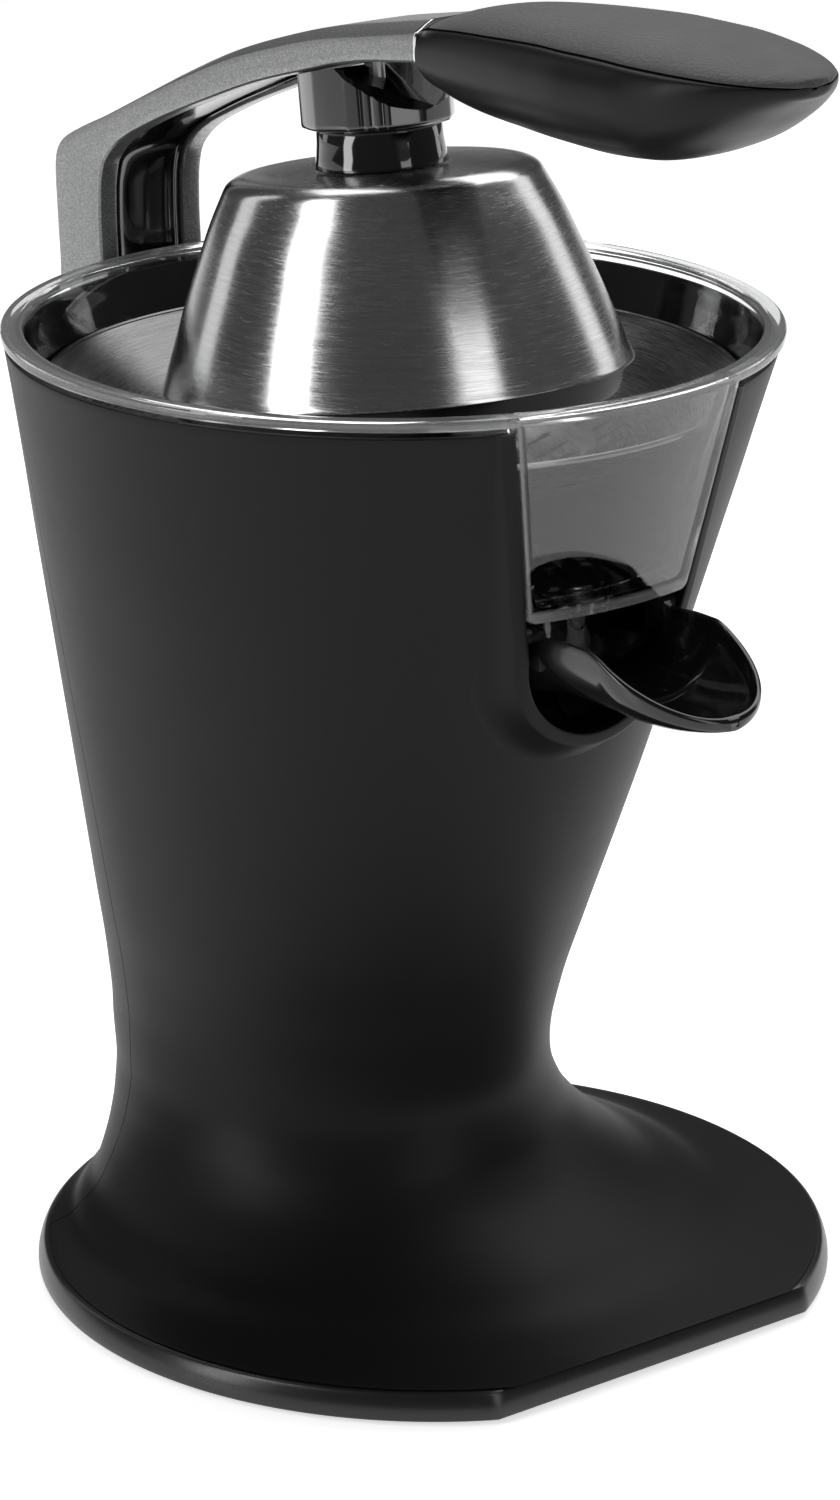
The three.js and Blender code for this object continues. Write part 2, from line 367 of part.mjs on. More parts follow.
// raised crown along the top of the arm
const crown = [[119, 262], [113.5, 270.4], [98, 277.6], [79.8, 286.6], [65.8, 293], [45.5, 301.5], [28.9, 306.9], [7.4, 312.9], [-7.4, 315.9], [-28.6, 320.2], [-28.6, 316], [28, 303], [80, 283], [110, 266]];
arm = join(arm, prismX(crown, -11, 11));
const skin = [[117.4, 228], [117.8, 241.8], [118.7, 259.5], [117.5, 262.5], [114.2, 265.3], [99, 272.2], [78.3, 281.9], [64.3, 288.2], [44, 296.5], [27.8, 301.7], [6.4, 307.6], [-8.1, 310.4], [-26, 313.8]];
arm = cut(arm, prismX([...skin, [-26, 285], [80, 230], [98, 228]], -10.3, 10.3), barX(HINGE.r + 0.35, -30, 30, HINGE.y, HINGE.z, 20));
const liningTop = [[117.05, 228.4], [117.4, 241.8], [118.3, 259.3], [117.15, 262.2], [114, 264.85], [98.8, 271.75], [78.1, 281.45], [64.1, 287.75], [43.8, 296.05], [27.6, 301.25], [6.2, 307.15], [-8.2, 309.95], [-25.6, 313.3]];
const liningLow = [[-25.6, 311.2], [-7.8, 308], [12.2, 303], [33.8, 296.8], [56, 288.5], [73.2, 281.7], [87.2, 275.3], [96.5, 270], [102.3, 264], [103.7, 257.4], [103.8, 246.8], [103.2, 228.4]];
let lining = prismX([...liningTop, ...liningLow], -9.9, 9.9);

const hood = new THREE.Group();
hood.position.set(0, HOOD.y, HOOD.z);
hood.rotation.x = THREE.MathUtils.degToRad(HOOD.tilt);
root.add(hood);
hood.updateMatrixWorld(true);
const toWorld = (m) => { // a solid written in the hood's frame, moved into the body frame
  const g = new THREE.BufferGeometry(), q = m.getMesh(), n = q.vertProperties.length / q.numProp, pos = [];
  for (let i = 0; i < n; i++) pos.push(...q.vertProperties.slice(i * q.numProp, i * q.numProp + 3));
  g.setAttribute("position", new THREE.Float32BufferAttribute(pos, 3)); g.setIndex(Array.from(q.triVerts));
  return solid(g.applyMatrix4(hood.matrix));
};
const boltHole = toWorld(cyl(2.85, 40, 84.4, 0, 0, 16));
put(root, "lever_arm", cut(arm, boltHole), 0x9b9c9e, 0.38, 0.7);
put(root, "arm_lining", cut(lining, boltHole), 0x151516, 0.12);

// ---------------------------------------------------------------- hood
put(hood, "hood_shell", lathe([[57.5, 0], [57.3, 1.0], [50.4, 20], [42.3, 39.5], [38.2, 48], [34.8, 50.4], [3.2, 50.4],
  [3.2, 49.4], [34.3, 49.4], [37.3, 47.3], [41.2, 39], [49.3, 19.7], [56.3, 0.8], [56.35, 0]]), 0xc4c6c8, 0.28, 1);
put(hood, "hood_liner", lathe([[53.2, -7.5], [55.4, -0.5], [55.8, 0.8], [48.8, 19.6], [40.75, 38.8], [36.8, 47], [34, 49.05], [3.2, 49.05],
  [3.2, 46.6], [32.6, 46.4], [34.9, 44.6], [38.6, 37.8], [46.6, 18.9], [53.4, -0.2], [51.2, -7.5]]), 0x19191a, 0.3);
put(hood, "hood_neck", cut(cyl(16.1, 50.75, 60.4, 0, 0, 28, 15.2), cyl(2.85, 40, 70, 0, 0, 16)), 0x161617, 0.12);
let boss = lathe([[0, 60.75], [17.4, 60.75], [18.75, 62], [18.75, 92], [0, 92]], 28);
boss = toWorld(cut(boss, cyl(2.85, 40, 100, 0, 0, 16)));
const armUnder = [[-40, 311.4], [-28.6, 309.65], [-7.6, 306.45], [12.5, 301.25], [34.2, 294.85], [56.6, 286.4], [60, 400], [-40, 400]];
boss = cut(boss, prismX(armUnder, -40, 40), prismX([[-30, 288.5], [-17, 292.2], [3, 306], [3, 330], [-30, 330]], -40, 40));
put(root, "hood_boss", boss, 0x18181a, 0.15);
put(hood, "hood_bolt", join(cyl(5, 44.5, 46.2, 0, 0, 6), cyl(2.5, 45.5, 83.6, 0, 0, 16)), 0xb0b2b4, 0.3, 1);

// ---------------------------------------------------------------- grip
const GRIP = [[-30.2, 17, 320.4, 302], [-39.5, 18.7, 323.4, 300.2], [-50.8, 20.7, 325.6, 299.5], [-64, 22.9, 327.1, 299.3], [-79, 25.1, 328.3, 299], [-94, 26.4, 329.1, 299], [-109, 26.2, 329.2, 300],
  [-122.5, 24, 328.4, 304.2], [-132.9, 19.8, 327.1, 310], [-140.5, 14.6, 325.8, 315.3], [-145.5, 9.4, 324.9, 318.4], [-148.2, 5, 324.1, 320], [-149, 1.6, 323.2, 321.2]];
const partLine = [[-30.2, 318.2], [-45, 320.3], [-58, 321.6], [-85, 323.6], [-105, 324], [-125, 323.7], [-140, 323], [-150, 322.4]];
const gripAll = loft(GRIP.map(([y, w, zt, zb]) => {
  const zc = zb + (zt - zb) * 0.6, pts = [];
  for (let i = 0; i < 24; i++) {
    const t = (2 * Math.PI * i) / 24, c = Math.cos(t), s = Math.sin(t), e = s > 0 ? 0.85 : 0.8;
    pts.push(V(w * Math.sign(c) * Math.pow(Math.abs(c), e), y, zc + Math.sign(s) * Math.pow(Math.abs(s), e) * (s > 0 ? zt - zc : zc - zb)));
  }
  return pts;
}));
const rearBevel = prismX([[-20, 290], [-41.5, 290], [-37.5, 300], [-30.2, 310], [-20, 312]], -40, 40);
const above = (d) => prismX([...partLine.map(([y, z]) => [y, z + d]), [-170, 322.3 + d], [-170, 360], [-20, 360], [-20, 317 + d]], -60, 60);
put(root, "grip_insert", gripAll.intersect(above(0.15)), 0x3a3b3d, 0.7);
put(root, "grip_shell", cut(gripAll, above(-0.15), rearBevel), 0x202022, 0.45);
const trimRing = ([y, w, zt, zb]) => { const zc = zb + (zt - zb) * 0.6; return Array.from({ length: 32 }, (_, i) => { const t = (2 * Math.PI * i) / 32; return V(w * Math.sign(Math.cos(t)) * Math.pow(Math.abs(Math.cos(t)), 0.85), y, zc + Math.sin(t) * (Math.sin(t) > 0 ? zt - zc : zc - zb)); }); };
put(root, "grip_trim", loft([trimRing([-28.95, 17.1, 320.3, 309.4]), trimRing([-29.85, 17.1, 320.5, 309.4])]), 0xd0d2d4, 0.2, 1);

root.position.y = -Y_MID;
export default root;
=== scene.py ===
# Looks for the citrus press juicer. Shapes are written in millimetres about the bowl axis
# (pouring side -Y, worktop z = 0) and moved into the part's frame by P().
import json
import math
import random

import bmesh
import bpy
import numpy as np
from mathutils import Matrix, Vector


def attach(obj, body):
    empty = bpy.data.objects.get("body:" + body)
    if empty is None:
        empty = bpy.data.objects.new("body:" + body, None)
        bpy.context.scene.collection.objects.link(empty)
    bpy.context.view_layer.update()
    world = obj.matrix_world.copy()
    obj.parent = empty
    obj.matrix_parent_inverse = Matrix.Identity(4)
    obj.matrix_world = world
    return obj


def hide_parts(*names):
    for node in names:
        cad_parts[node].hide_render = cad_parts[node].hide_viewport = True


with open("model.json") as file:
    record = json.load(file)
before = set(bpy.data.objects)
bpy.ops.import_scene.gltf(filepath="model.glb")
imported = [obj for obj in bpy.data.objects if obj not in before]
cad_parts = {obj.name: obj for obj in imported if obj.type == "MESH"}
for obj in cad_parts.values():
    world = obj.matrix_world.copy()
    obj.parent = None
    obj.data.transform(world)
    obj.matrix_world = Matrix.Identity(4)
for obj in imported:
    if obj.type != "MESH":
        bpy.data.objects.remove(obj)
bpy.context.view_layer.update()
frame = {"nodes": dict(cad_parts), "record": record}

random.seed(11)
Y_MID = 13.55
FLAT_Y = -103.45
TAU = 2 * math.pi
WORLD = 0.07


# ------------------------------------------------------------------ numbers
def pchip(xs, ys):
    xs, ys = np.asarray(xs, float), np.asarray(ys, float)
    h, d = np.diff(xs), np.diff(ys) / np.diff(xs)
    m = np.zeros_like(xs)
    for i in range(1, len(xs) - 1):
        if d[i - 1] * d[i] > 0:
            w1, w2 = 2 * h[i] + h[i - 1], h[i] + 2 * h[i - 1]
            m[i] = (w1 + w2) / (w1 / d[i - 1] + w2 / d[i])
    m[0], m[-1] = d[0], d[-1]

    def f(x):
        x = np.clip(np.asarray(x, float), xs[0], xs[-1])
        i = np.clip(np.searchsorted(xs, x) - 1, 0, len(xs) - 2)
        t = (x - xs[i]) / h[i]
        a = ys[i] * (2 * t**3 - 3 * t**2 + 1) + ys[i + 1] * (-2 * t**3 + 3 * t**2)
        return a + h[i] * (m[i] * (t**3 - 2 * t**2 + t) + m[i + 1] * (t**3 - t**2))

    return f


def smooth_path(pts, step, closed=False):
    """Points of a polyline, smoothed through the given points and spaced by step."""
    p = np.array(pts, float)
    s = np.concatenate([[0], np.cumsum(np.hypot(*np.diff(p, axis=0).T))])
    n = max(2, int(round(s[-1] / step)))
    t = np.linspace(0, s[-1], n + 1)
    return np.stack([pchip(s, p[:, k])(t) for k in range(p.shape[1])], 1)


SECTIONS = [
    [1, 100.2, -15.9, 100.2, 100.2], [4.5, 100.0, -15.9, 100.0, 100.0], [8, 98.2, -15.9, 98.2, 98.2], [8.3, 98.0, -15.8, 98, 98], [9, 91.4, -9.5, 91.3, 91.4],
    [10, 84.5, -3, 84.5, 84.5], [12, 79.6, 1.6, 80.3, 79.7], [15, 72.2, 8.4, 73.9, 72.6], [20, 66.3, 14.2, 67.7, 67.1], [26, 61, 19.7, 64.6, 62.3],
    [34, 56.5, 24.8, 62.7, 58.1], [44, 53.9, 28.3, 62.8, 55.8], [56, 53.7, 30, 65.6, 55.4], [70, 55, 29.3, 69.2, 57.4], [90, 58.9, 27.1, 74.6, 61.2],
    [115, 64.1, 24, 81.4, 65.9], [140, 69.5, 20.7, 87.4, 70.6], [165, 75.5, 16.1, 90.9, 76.2], [188, 81.3, 10.8, 91.8, 82.6], [212, 87, 6.2, 94.1, 88],
    [236, 93.5, 1, 94.7, 93.8], [241, 95, 0, 95, 95],
]
_zs = [r[0] for r in SECTIONS]
SEC = [pchip(_zs, [r[k] for r in SECTIONS]) for k in range(1, 5)]


def sec(z):
    return [float(f(z)) for f in SEC]


def body_y(x, z):
    a, yw, bf, _ = sec(z)
    return yw - bf * math.sqrt(max(0.0, 1 - (x / a) ** 2))


def plane_y(x, z):
    return -95 + 0.194 * (241 - z) + x * x / 196


# ------------------------------------------------------------------ meshes
def P(p):
    return (p[0] / 1000, (p[1] + Y_MID) / 1000, p[2] / 1000)


def make(name, verts, faces, body, slot, mat, angle=32, hides=(), flip_check=True):
    me = bpy.data.meshes.new(name)
    me.from_pydata([P(v) for v in verts], [], faces)
    me.update()
    bm = bmesh.new()
    bm.from_mesh(me)
    bmesh.ops.remove_doubles(bm, verts=bm.verts, dist=2e-6)
    bmesh.ops.dissolve_degenerate(bm, edges=bm.edges, dist=1e-6)
    bmesh.ops.recalc_face_normals(bm, faces=bm.faces)
    bm.to_mesh(me)
    bm.free()
    ob = bpy.data.objects.new(name, me)
    bpy.context.scene.collection.objects.link(ob)
    finish_mesh(ob, angle)
    if mat:
        me.materials.append(mat)
    ob["_meta"] = slot
    if body:
        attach(ob, body)
        if hides:
            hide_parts(*hides)
    return ob


def finish_mesh(ob, angle):
    me = ob.data
    me.shade_smooth()
    me.set_sharp_from_angle(angle=math.radians(angle))


def loft_vf(rings, closed=True, caps=(True, True)):
    n = len(rings[0])
    V = [tuple(p) for r in rings for p in r]
    F = []
    for k in range(len(rings) - 1):
        for i in range(n if closed else n - 1):
            a, b = k * n + i, k * n + (i + 1) % n
            F.append((a, b, b + n, a + n))
    if caps[0]:
        F.append(tuple(range(n - 1, -1, -1)))
    if caps[1]:
        F.append(tuple((len(rings) - 1) * n + i for i in range(n)))
    return V, F


def lathe_vf(profile, seg=192, centre=(0, 0)):
    """Closed profile of (r, z) points, turned about a vertical axis. A closed ring if no point has r = 0."""
    V, F, rows = [], [], []
    for r, z in profile:
        if r < 1e-6:
            rows.append([len(V)])
            V.append((centre[0], centre[1], z))
        else:
            rows.append(list(range(len(V), len(V) + seg)))
            V += [(centre[0] + r * math.cos(TAU * i / seg), centre[1] + r * math.sin(TAU * i / seg), z) for i in range(seg)]
    on_axis = profile[0][0] < 1e-6
    pairs = list(zip(rows, rows[1:])) + ([] if on_axis else [(rows[-1], rows[0])])
    for a, b in pairs:
        for i in range(seg):
            j = (i + 1) % seg
            f = [a[i % len(a)], a[j % len(a)], b[j % len(b)], b[i % len(b)]]
            g = []
            for v in f:
                if v not in g:
                    g.append(v)
            if len(g) > 2:
                F.append(tuple(g))
    return V, F


def merge(*parts):
    V, F = [], []
    for v, f in parts:
        o = len(V)
        V += [tuple(p) for p in v]
        F += [tuple(i + o for i in q) for q in f]
    return V, F


def prism_vf(poly, axis, lo, hi):
    """poly in the two other axes (y,z for x; x,z for y; x,y for z)."""
    def put(p, h):
        return {"x": (h, p[0], p[1]), "y": (p[0], h, p[1]), "z": (p[0], p[1], h)}[axis]
    return loft_vf([[put(p, lo) for p in poly], [put(p, hi) for p in poly]])


def tool(vf, name="tool"):
    me = bpy.data.meshes.new(name)
    me.from_pydata([P(v) for v in vf[0]], [], vf[1])
    bm = bmesh.new()
    bm.from_mesh(me)
    bmesh.ops.remove_doubles(bm, verts=bm.verts, dist=1e-6)
    bmesh.ops.recalc_face_normals(bm, faces=bm.faces)
    bm.to_mesh(me)
    bm.free()
    ob = bpy.data.objects.new(name, me)
    bpy.context.scene.collection.objects.link(ob)
    return ob


def boolean(ob, *steps, angle=32):
    """steps: (operation, tool object). The tools are used up."""
    for op, t in steps:
        m = ob.modifiers.new("b", "BOOLEAN")
        m.operation, m.object, m.solver = op, t, "EXACT"
        bpy.context.view_layer.update()
        dg = bpy.context.evaluated_depsgraph_get()
        new = bpy.data.meshes.new_from_object(ob.evaluated_get(dg))
        mats = list(ob.data.materials)
        ob.modifiers.clear()
        ob.data = new
        new.materials.clear()
        for x in mats:
            new.materials.append(x)
        for p in new.polygons:
            p.material_index = 0
        bpy.data.objects.remove(t)
    bm = bmesh.new()
    bm.from_mesh(ob.data)
    bmesh.ops.remove_doubles(bm, verts=bm.verts, dist=5e-6)
    bmesh.ops.dissolve_degenerate(bm, edges=bm.edges, dist=2e-6)
    loose = [v for v in bm.verts if not v.link_faces]
    bmesh.ops.delete(bm, geom=loose, context="VERTS")
    bm.to_mesh(ob.data)
    bm.free()
    finish_mesh(ob, angle)
    return ob


def bevel(ob, width, segments=3, angle=35):
    m = ob.modifiers.new("edge", "BEVEL")
    m.width, m.segments, m.limit_method, m.angle_limit = width / 1000, segments, "ANGLE", math.radians(angle)
    m.harden_normals = False
    bpy.context.view_layer.update()
    new = bpy.data.meshes.new_from_object(ob.evaluated_get(bpy.context.evaluated_depsgraph_get()))
    mats = list(ob.data.materials)
    ob.modifiers.clear()
    ob.data = new
    new.materials.clear()
    for x in mats:
        new.materials.append(x)
    finish_mesh(ob, 40)
    return ob


# ------------------------------------------------------------------ materials
class Mat:
    def __init__(self, name, base, rough, metal=0.0, **kw):
        self.m = bpy.data.materials.new(name)
        self.m.use_nodes = True
        self.nt = self.m.node_tree
        self.b = self.nt.nodes["Principled BSDF"]
        self.b.inputs["Base Color"].default_value = (*base, 1)
        self.b.inputs["Roughness"].default_value = rough
        self.b.inputs["Metallic"].default_value = metal
        for k, v in kw.items():
            self.b.inputs[k.replace("_", " ")].default_value = v
        self.tc = self.nt.nodes.new("ShaderNodeTexCoord")

    def node(self, kind, **kw):
        n = self.nt.nodes.new(kind)
        for k, v in kw.items():
            setattr(n, k, v)
        return n

    def link(self, a, b):
        self.nt.links.new(a, b)

    def noise(self, scale, detail=4, rough=0.55, stretch=None, vec=None):
        n = self.node("ShaderNodeTexNoise")
        n.inputs["Scale"].default_value = scale
        n.inputs["Detail"].default_value = detail
        n.inputs["Roughness"].default_value = rough
        src = vec if vec is not None else self.tc.outputs["Object"]
        if stretch:
            mp = self.node("ShaderNodeMapping")
            mp.inputs["Scale"].default_value = stretch
            self.link(src, mp.inputs["Vector"])
            src = mp.outputs["Vector"]
        self.link(src, n.inputs["Vector"])
        return n.outputs["Fac"]

    def ramp(self, fac, stops):
        r = self.node("ShaderNodeValToRGB")
        e = r.color_ramp.elements
        while len(e) < len(stops):
            e.new(0.5)
        for i, (pos, v) in enumerate(stops):
            e[i].position = pos
            e[i].color = (v, v, v, 1) if not hasattr(v, "__len__") else (*v, 1)
        self.link(fac, r.inputs["Fac"])
        return r.outputs["Color"]

    def rng(self, fac, a, b, lo=0.0, hi=1.0):
        n = self.node("ShaderNodeMapRange")
        n.inputs["From Min"].default_value, n.inputs["From Max"].default_value = lo, hi
        n.inputs["To Min"].default_value, n.inputs["To Max"].default_value = a, b
        self.link(fac, n.inputs["Value"])
        return n.outputs["Result"]

    def math(self, op, a, b):
        n = self.node("ShaderNodeMath", operation=op)
        for i, v in enumerate((a, b)):
            if isinstance(v, (int, float)):
                n.inputs[i].default_value = v
            else:
                self.link(v, n.inputs[i])
        return n.outputs[0]

    def bump(self, height, strength=0.2, distance=0.0004, normal=None):
        n = self.node("ShaderNodeBump")
        n.inputs["Strength"].default_value = strength
        n.inputs["Distance"].default_value = distance
        self.link(height, n.inputs["Height"])
        if normal is not None:
            self.link(normal, n.inputs["Normal"])
        return n.outputs["Normal"]

    def set(self, name, out):
        self.link(out, self.b.inputs[name])

    def mixcol(self, fac, a, b):
        n = self.node("ShaderNodeMix", data_type="RGBA")
        if isinstance(fac, (int, float)):
            n.inputs[0].default_value = fac
        else:
            self.link(fac, n.inputs[0])
        for i, v in ((6, a), (7, b)):
            if hasattr(v, "__len__"):
                n.inputs[i].default_value = (*v, 1)
            else:
                self.link(v, n.inputs[i])
        return n.outputs[2]

    def edges(self, lo=0.52, hi=0.62):
        """Painted highlight: brighter where the surface turns sharply outward."""
        g = self.node("ShaderNodeNewGeometry")
        return self.rng(g.outputs["Pointiness"], 0, 1, lo, hi)


def plastic(name, base, rough, grain=900, grain_amt=0.04, edge_highlight=0.03, coat=0.0, coat_rough=0.1, spec=0.5):
    m = Mat(name, base, rough)
    m.b.inputs["Specular IOR Level"].default_value = spec
    if coat:
        m.b.inputs["Coat Weight"].default_value = coat
        m.b.inputs["Coat Roughness"].default_value = coat_rough
    fine, broad = m.noise(grain, 3, 0.6), m.noise(14, 5, 0.6)
    m.set("Roughness", m.math("ADD", m.rng(broad, rough - 0.03, rough + 0.04, 0.3, 0.7), m.rng(fine, -0.015, 0.015, 0.3, 0.7)))
    # painted highlight: convex edges are lightened in the base colour, standing in for the light they catch
    edge_highlight_colour = tuple(min(1, c * 1.5 + edge_highlight) for c in base)
    m.set("Base Color", m.mixcol(m.math("MULTIPLY", m.edges(), 0.5), m.mixcol(m.rng(broad, 0, 1, 0.3, 0.7), tuple(c * 0.92 for c in base), tuple(c * 1.08 for c in base)), edge_highlight_colour))
    m.set("Normal", m.bump(fine, grain_amt, 0.0002))
    return m.m


def brushed(name, base, rough, around=True, aniso=0.75, streak=1.0, centre=(0, 0)):
    """Metal with fine turning marks about a vertical axis through centre (row frame, metres)."""
    m = Mat(name, base, rough, 1.0)
    sep = m.node("ShaderNodeSeparateXYZ")
    m.link(m.tc.outputs["Object"], sep.inputs[0])
    x, y = m.math("SUBTRACT", sep.outputs[0], centre[0]), m.math("SUBTRACT", sep.outputs[1], centre[1])
    r = m.math("SQRT", m.math("ADD", m.math("MULTIPLY", x, x), m.math("MULTIPLY", y, y)), 0)
    ang = m.math("ARCTAN2", y, x)
    com = m.node("ShaderNodeCombineXYZ")
    m.link(m.math("MULTIPLY", r, 1.0), com.inputs[0])
    m.link(m.math("MULTIPLY", ang, 0.0016 if around else 0.05), com.inputs[1])
    m.link(sep.outputs[2], com.inputs[2])
    fine = m.noise(4200, 4, 0.7, vec=com.outputs[0])
    mid = m.noise(1300, 5, 0.65, vec=com.outputs[0])
    broad = m.noise(22, 3, 0.5)
    m.set("Roughness", m.math("ADD", m.rng(fine, rough - 0.09 * streak, rough + 0.1 * streak, 0.3, 0.7), m.rng(broad, -0.03, 0.03, 0.3, 0.7)))
    m.set("Base Color", m.mixcol(m.rng(mid, 0, 1, 0.25, 0.75), tuple(c * (1 - 0.14 * streak) for c in base), tuple(min(1, c * (1 + 0.06 * streak)) for c in base)))
    m.b.inputs["Anisotropic"].default_value = aniso
    m.b.inputs["Anisotropic Rotation"].default_value = 0.25
    tan = m.node("ShaderNodeTangent", direction_type="RADIAL", axis="Z")
    m.set("Tangent", tan.outputs[0])
    m.set("Normal", m.bump(m.math("ADD", fine, mid), 0.09 * streak, 0.00012))
    return m.m


def sheet_metal(name, base, rough, metal=1.0):
    m = Mat(name, base, rough, metal)
    a, b = m.noise(60, 5, 0.6, stretch=(1, 1, 14)), m.noise(900, 3, 0.6, stretch=(1, 8, 1))
    m.set("Roughness", m.math("ADD", m.rng(a, rough - 0.07, rough + 0.08, 0.3, 0.7), m.rng(b, -0.04, 0.04, 0.3, 0.7)))
    m.set("Base Color", m.mixcol(m.rng(a, 0, 1, 0.3, 0.7), tuple(c * 0.9 for c in base), tuple(min(1, c * 1.08) for c in base)))
    m.set("Normal", m.bump(b, 0.08, 0.0002))
    return m.m


M = {}
M["housing_black"] = plastic("housing_black", (0.006, 0.006, 0.0063), 0.45, 1200, 0.02, 0.006, spec=0.14)
M["base_black"] = plastic("base_black", (0.008, 0.008, 0.0083), 0.3, 1000, 0.03, 0.01, spec=0.5)
M["foot_rubber"] = plastic("foot_rubber", (0.02, 0.02, 0.02), 0.8, 700, 0.2, 0.0, spec=0.3)
M["deck_black"] = plastic("deck_black", (0.012, 0.012, 0.0125), 0.2, 800, 0.03, 0.03, spec=0.8)
M["cover_plastic"] = plastic("cover_plastic", (0.04, 0.04, 0.042), 0.5, 700, 0.06, 0.02)
M["switch_plastic"] = plastic("switch_plastic", (0.05, 0.035, 0.028), 0.5, 700, 0.06, 0.02)
M["grommet_rubber"] = plastic("grommet_rubber", (0.014, 0.014, 0.014), 0.7, 700, 0.15, 0.0, spec=0.3)
M["collar_plastic"] = plastic("collar_plastic", (0.08, 0.085, 0.09), 0.45, 700, 0.04, 0.02)
M["reamer_black"] = plastic("reamer_black", (0.013, 0.013, 0.014), 0.2, 700, 0.02, 0.02, coat=0.5, coat_rough=0.06)
M["gear_acetal"] = plastic("gear_acetal", (0.72, 0.69, 0.6), 0.42, 600, 0.05, 0.02)
M["fan_plastic"] = plastic("fan_plastic", (0.03, 0.03, 0.032), 0.5, 600, 0.05, 0.02)
M["plunger_red"] = plastic("plunger_red", (0.42, 0.05, 0.03), 0.4, 600, 0.04, 0.02)
M["spout_black"] = plastic("spout_black", (0.005, 0.005, 0.0053), 0.14, 500, 0.01, 0.02, coat=0.3, coat_rough=0.06, spec=0.4)
M["lining_black"] = plastic("lining_black", (0.006, 0.006, 0.0065), 0.12, 500, 0.012, 0.01, coat=0.8, coat_rough=0.05)
M["liner_black"] = plastic("liner_black", (0.008, 0.008, 0.0085), 0.22, 700, 0.02, 0.01, coat=0.4, coat_rough=0.1)
M["neck_black"] = plastic("neck_black", (0.006, 0.006, 0.0065), 0.09, 500, 0.01, 0.01, coat=1.0, coat_rough=0.03)
M["grip_shell_black"] = plastic("grip_shell_black", (0.006, 0.006, 0.0062), 0.36, 1300, 0.07, 0.01, spec=0.16)
M["hood_steel"] = brushed("hood_steel", (0.56, 0.56, 0.565), 0.21, centre=(0, 0.0117), aniso=0.68, streak=0.85)
# painted shade: the strainer's steel is given a far darker colour than the hood's steel, standing in for the dark hood
# it reflects
M["strainer_steel"] = brushed("strainer_steel", (0.16, 0.16, 0.163), 0.26, centre=(0, 0.01355), aniso=0.7, streak=1.2)
for _n, _c, _r in [("screw_steel", (0.5, 0.5, 0.51), 0.35), ("plate_steel", (0.42, 0.43, 0.44), 0.4), ("core_steel", (0.22, 0.23, 0.24), 0.5), ("pin_steel", (0.58, 0.59, 0.6), 0.2),
                   ("spring_steel", (0.5, 0.5, 0.52), 0.25), ("bush_bronze", (0.42, 0.31, 0.14), 0.42), ("coil_copper", (0.5, 0.2, 0.07), 0.34), ("brush_brass", (0.45, 0.33, 0.12), 0.35),
                   ("commutator_copper", (0.52, 0.25, 0.1), 0.28), ("pinion_brass", (0.52, 0.4, 0.17), 0.3)]:
    M[_n] = sheet_metal(_n, _c, _r)


def silver_paint():
    m = Mat("arm_silver", (0.23, 0.232, 0.236), 0.36, 0.0)
    v = m.node("ShaderNodeTexVoronoi")
    v.inputs["Scale"].default_value = 3800
    m.link(m.tc.outputs["Object"], v.inputs["Vector"])
    grey = m.node("ShaderNodeSeparateColor")
    m.link(v.outputs["Color"], grey.inputs[0])
    flake = m.rng(grey.outputs[0], 0, 1, 0.25, 1.0)
    broad = m.noise(30, 4, 0.6)
    m.set("Base Color", m.mixcol(flake, (0.17, 0.172, 0.175), (0.33, 0.334, 0.338)))
    m.set("Metallic", m.rng(flake, 0.5, 0.8))
    m.set("Roughness", m.math("ADD", m.rng(flake, 0.42, 0.3), m.rng(broad, -0.03, 0.03, 0.3, 0.7)))
    m.set("Normal", m.bump(grey.outputs[1], 0.12, 0.0001))
    m.b.inputs["Coat Weight"].default_value = 0.5
    m.b.inputs["Coat Roughness"].default_value = 0.16
    return m.m


def soft_touch():
    m = Mat("grip_soft", (0.03, 0.03, 0.031), 0.6)
    v = m.node("ShaderNodeTexVoronoi")
    v.inputs["Scale"].default_value = 950
    m.link(m.tc.outputs["Object"], v.inputs["Vector"])
    fine, broad = m.noise(1800, 3, 0.7), m.noise(25, 4, 0.6)
    m.set("Base Color", m.mixcol(m.rng(fine, 0, 1, 0.3, 0.7), (0.015, 0.015, 0.0155), (0.04, 0.04, 0.042)))
    m.set("Roughness", m.rng(broad, 0.52, 0.66, 0.3, 0.7))
    m.set("Normal", m.bump(m.math("ADD", v.outputs["Distance"], fine), 0.3, 0.0003))
    m.b.inputs["Sheen Weight"].default_value = 0.15
    m.b.inputs["Sheen Roughness"].default_value = 0.5
    return m.m


def clear_plastic():
    m = Mat("bowl_clear", (0.96, 0.97, 0.972), 0.02)
    m.b.inputs["Transmission Weight"].default_value = 1.0
    m.b.inputs["IOR"].default_value = 1.5
    broad, fine = m.noise(35, 4, 0.6), m.noise(500, 3, 0.6)
    m.set("Roughness", m.math("ADD", m.rng(broad, 0.01, 0.05, 0.35, 0.75), m.rng(fine, 0.0, 0.01, 0.3, 0.7)))
    m.set("Normal", m.bump(broad, 0.03, 0.0006))
    sep = m.node("ShaderNodeSeparateXYZ")
    m.link(m.tc.outputs["Object"], sep.inputs[0])
    # painted light: the thicker edges of the window box and the rim are made partly opaque white by position, so they
    # look paler than the walls
    half = m.math("ADD", m.math("MULTIPLY", sep.outputs[2], 0.18667), 0.0241 - 0.1885 * 0.18667)
    side = m.rng(m.math("SUBTRACT", half, m.math("ABSOLUTE", sep.outputs[0], 0)), 1.0, 0.0, 0.0009, 0.0014)
    foot = m.rng(sep.outputs[2], 1.0, 0.0, 0.1906, 0.1918)
    front = m.rng(sep.outputs[1], 1.0, 0.0, -0.0665, -0.0655)
    edge = m.math("MULTIPLY", m.math("MAXIMUM", side, foot), front)
    # painted light on the rim: opaque white stands in for the light the clear flange catches
    painted_pale_rim = m.rng(sep.outputs[2], 0.0, 0.16, 0.2388, 0.2402)
    m.set("Transmission Weight", m.math("SUBTRACT", 1.0, m.math("MAXIMUM", m.math("MULTIPLY", edge, 0.15), painted_pale_rim)))
    return m.m


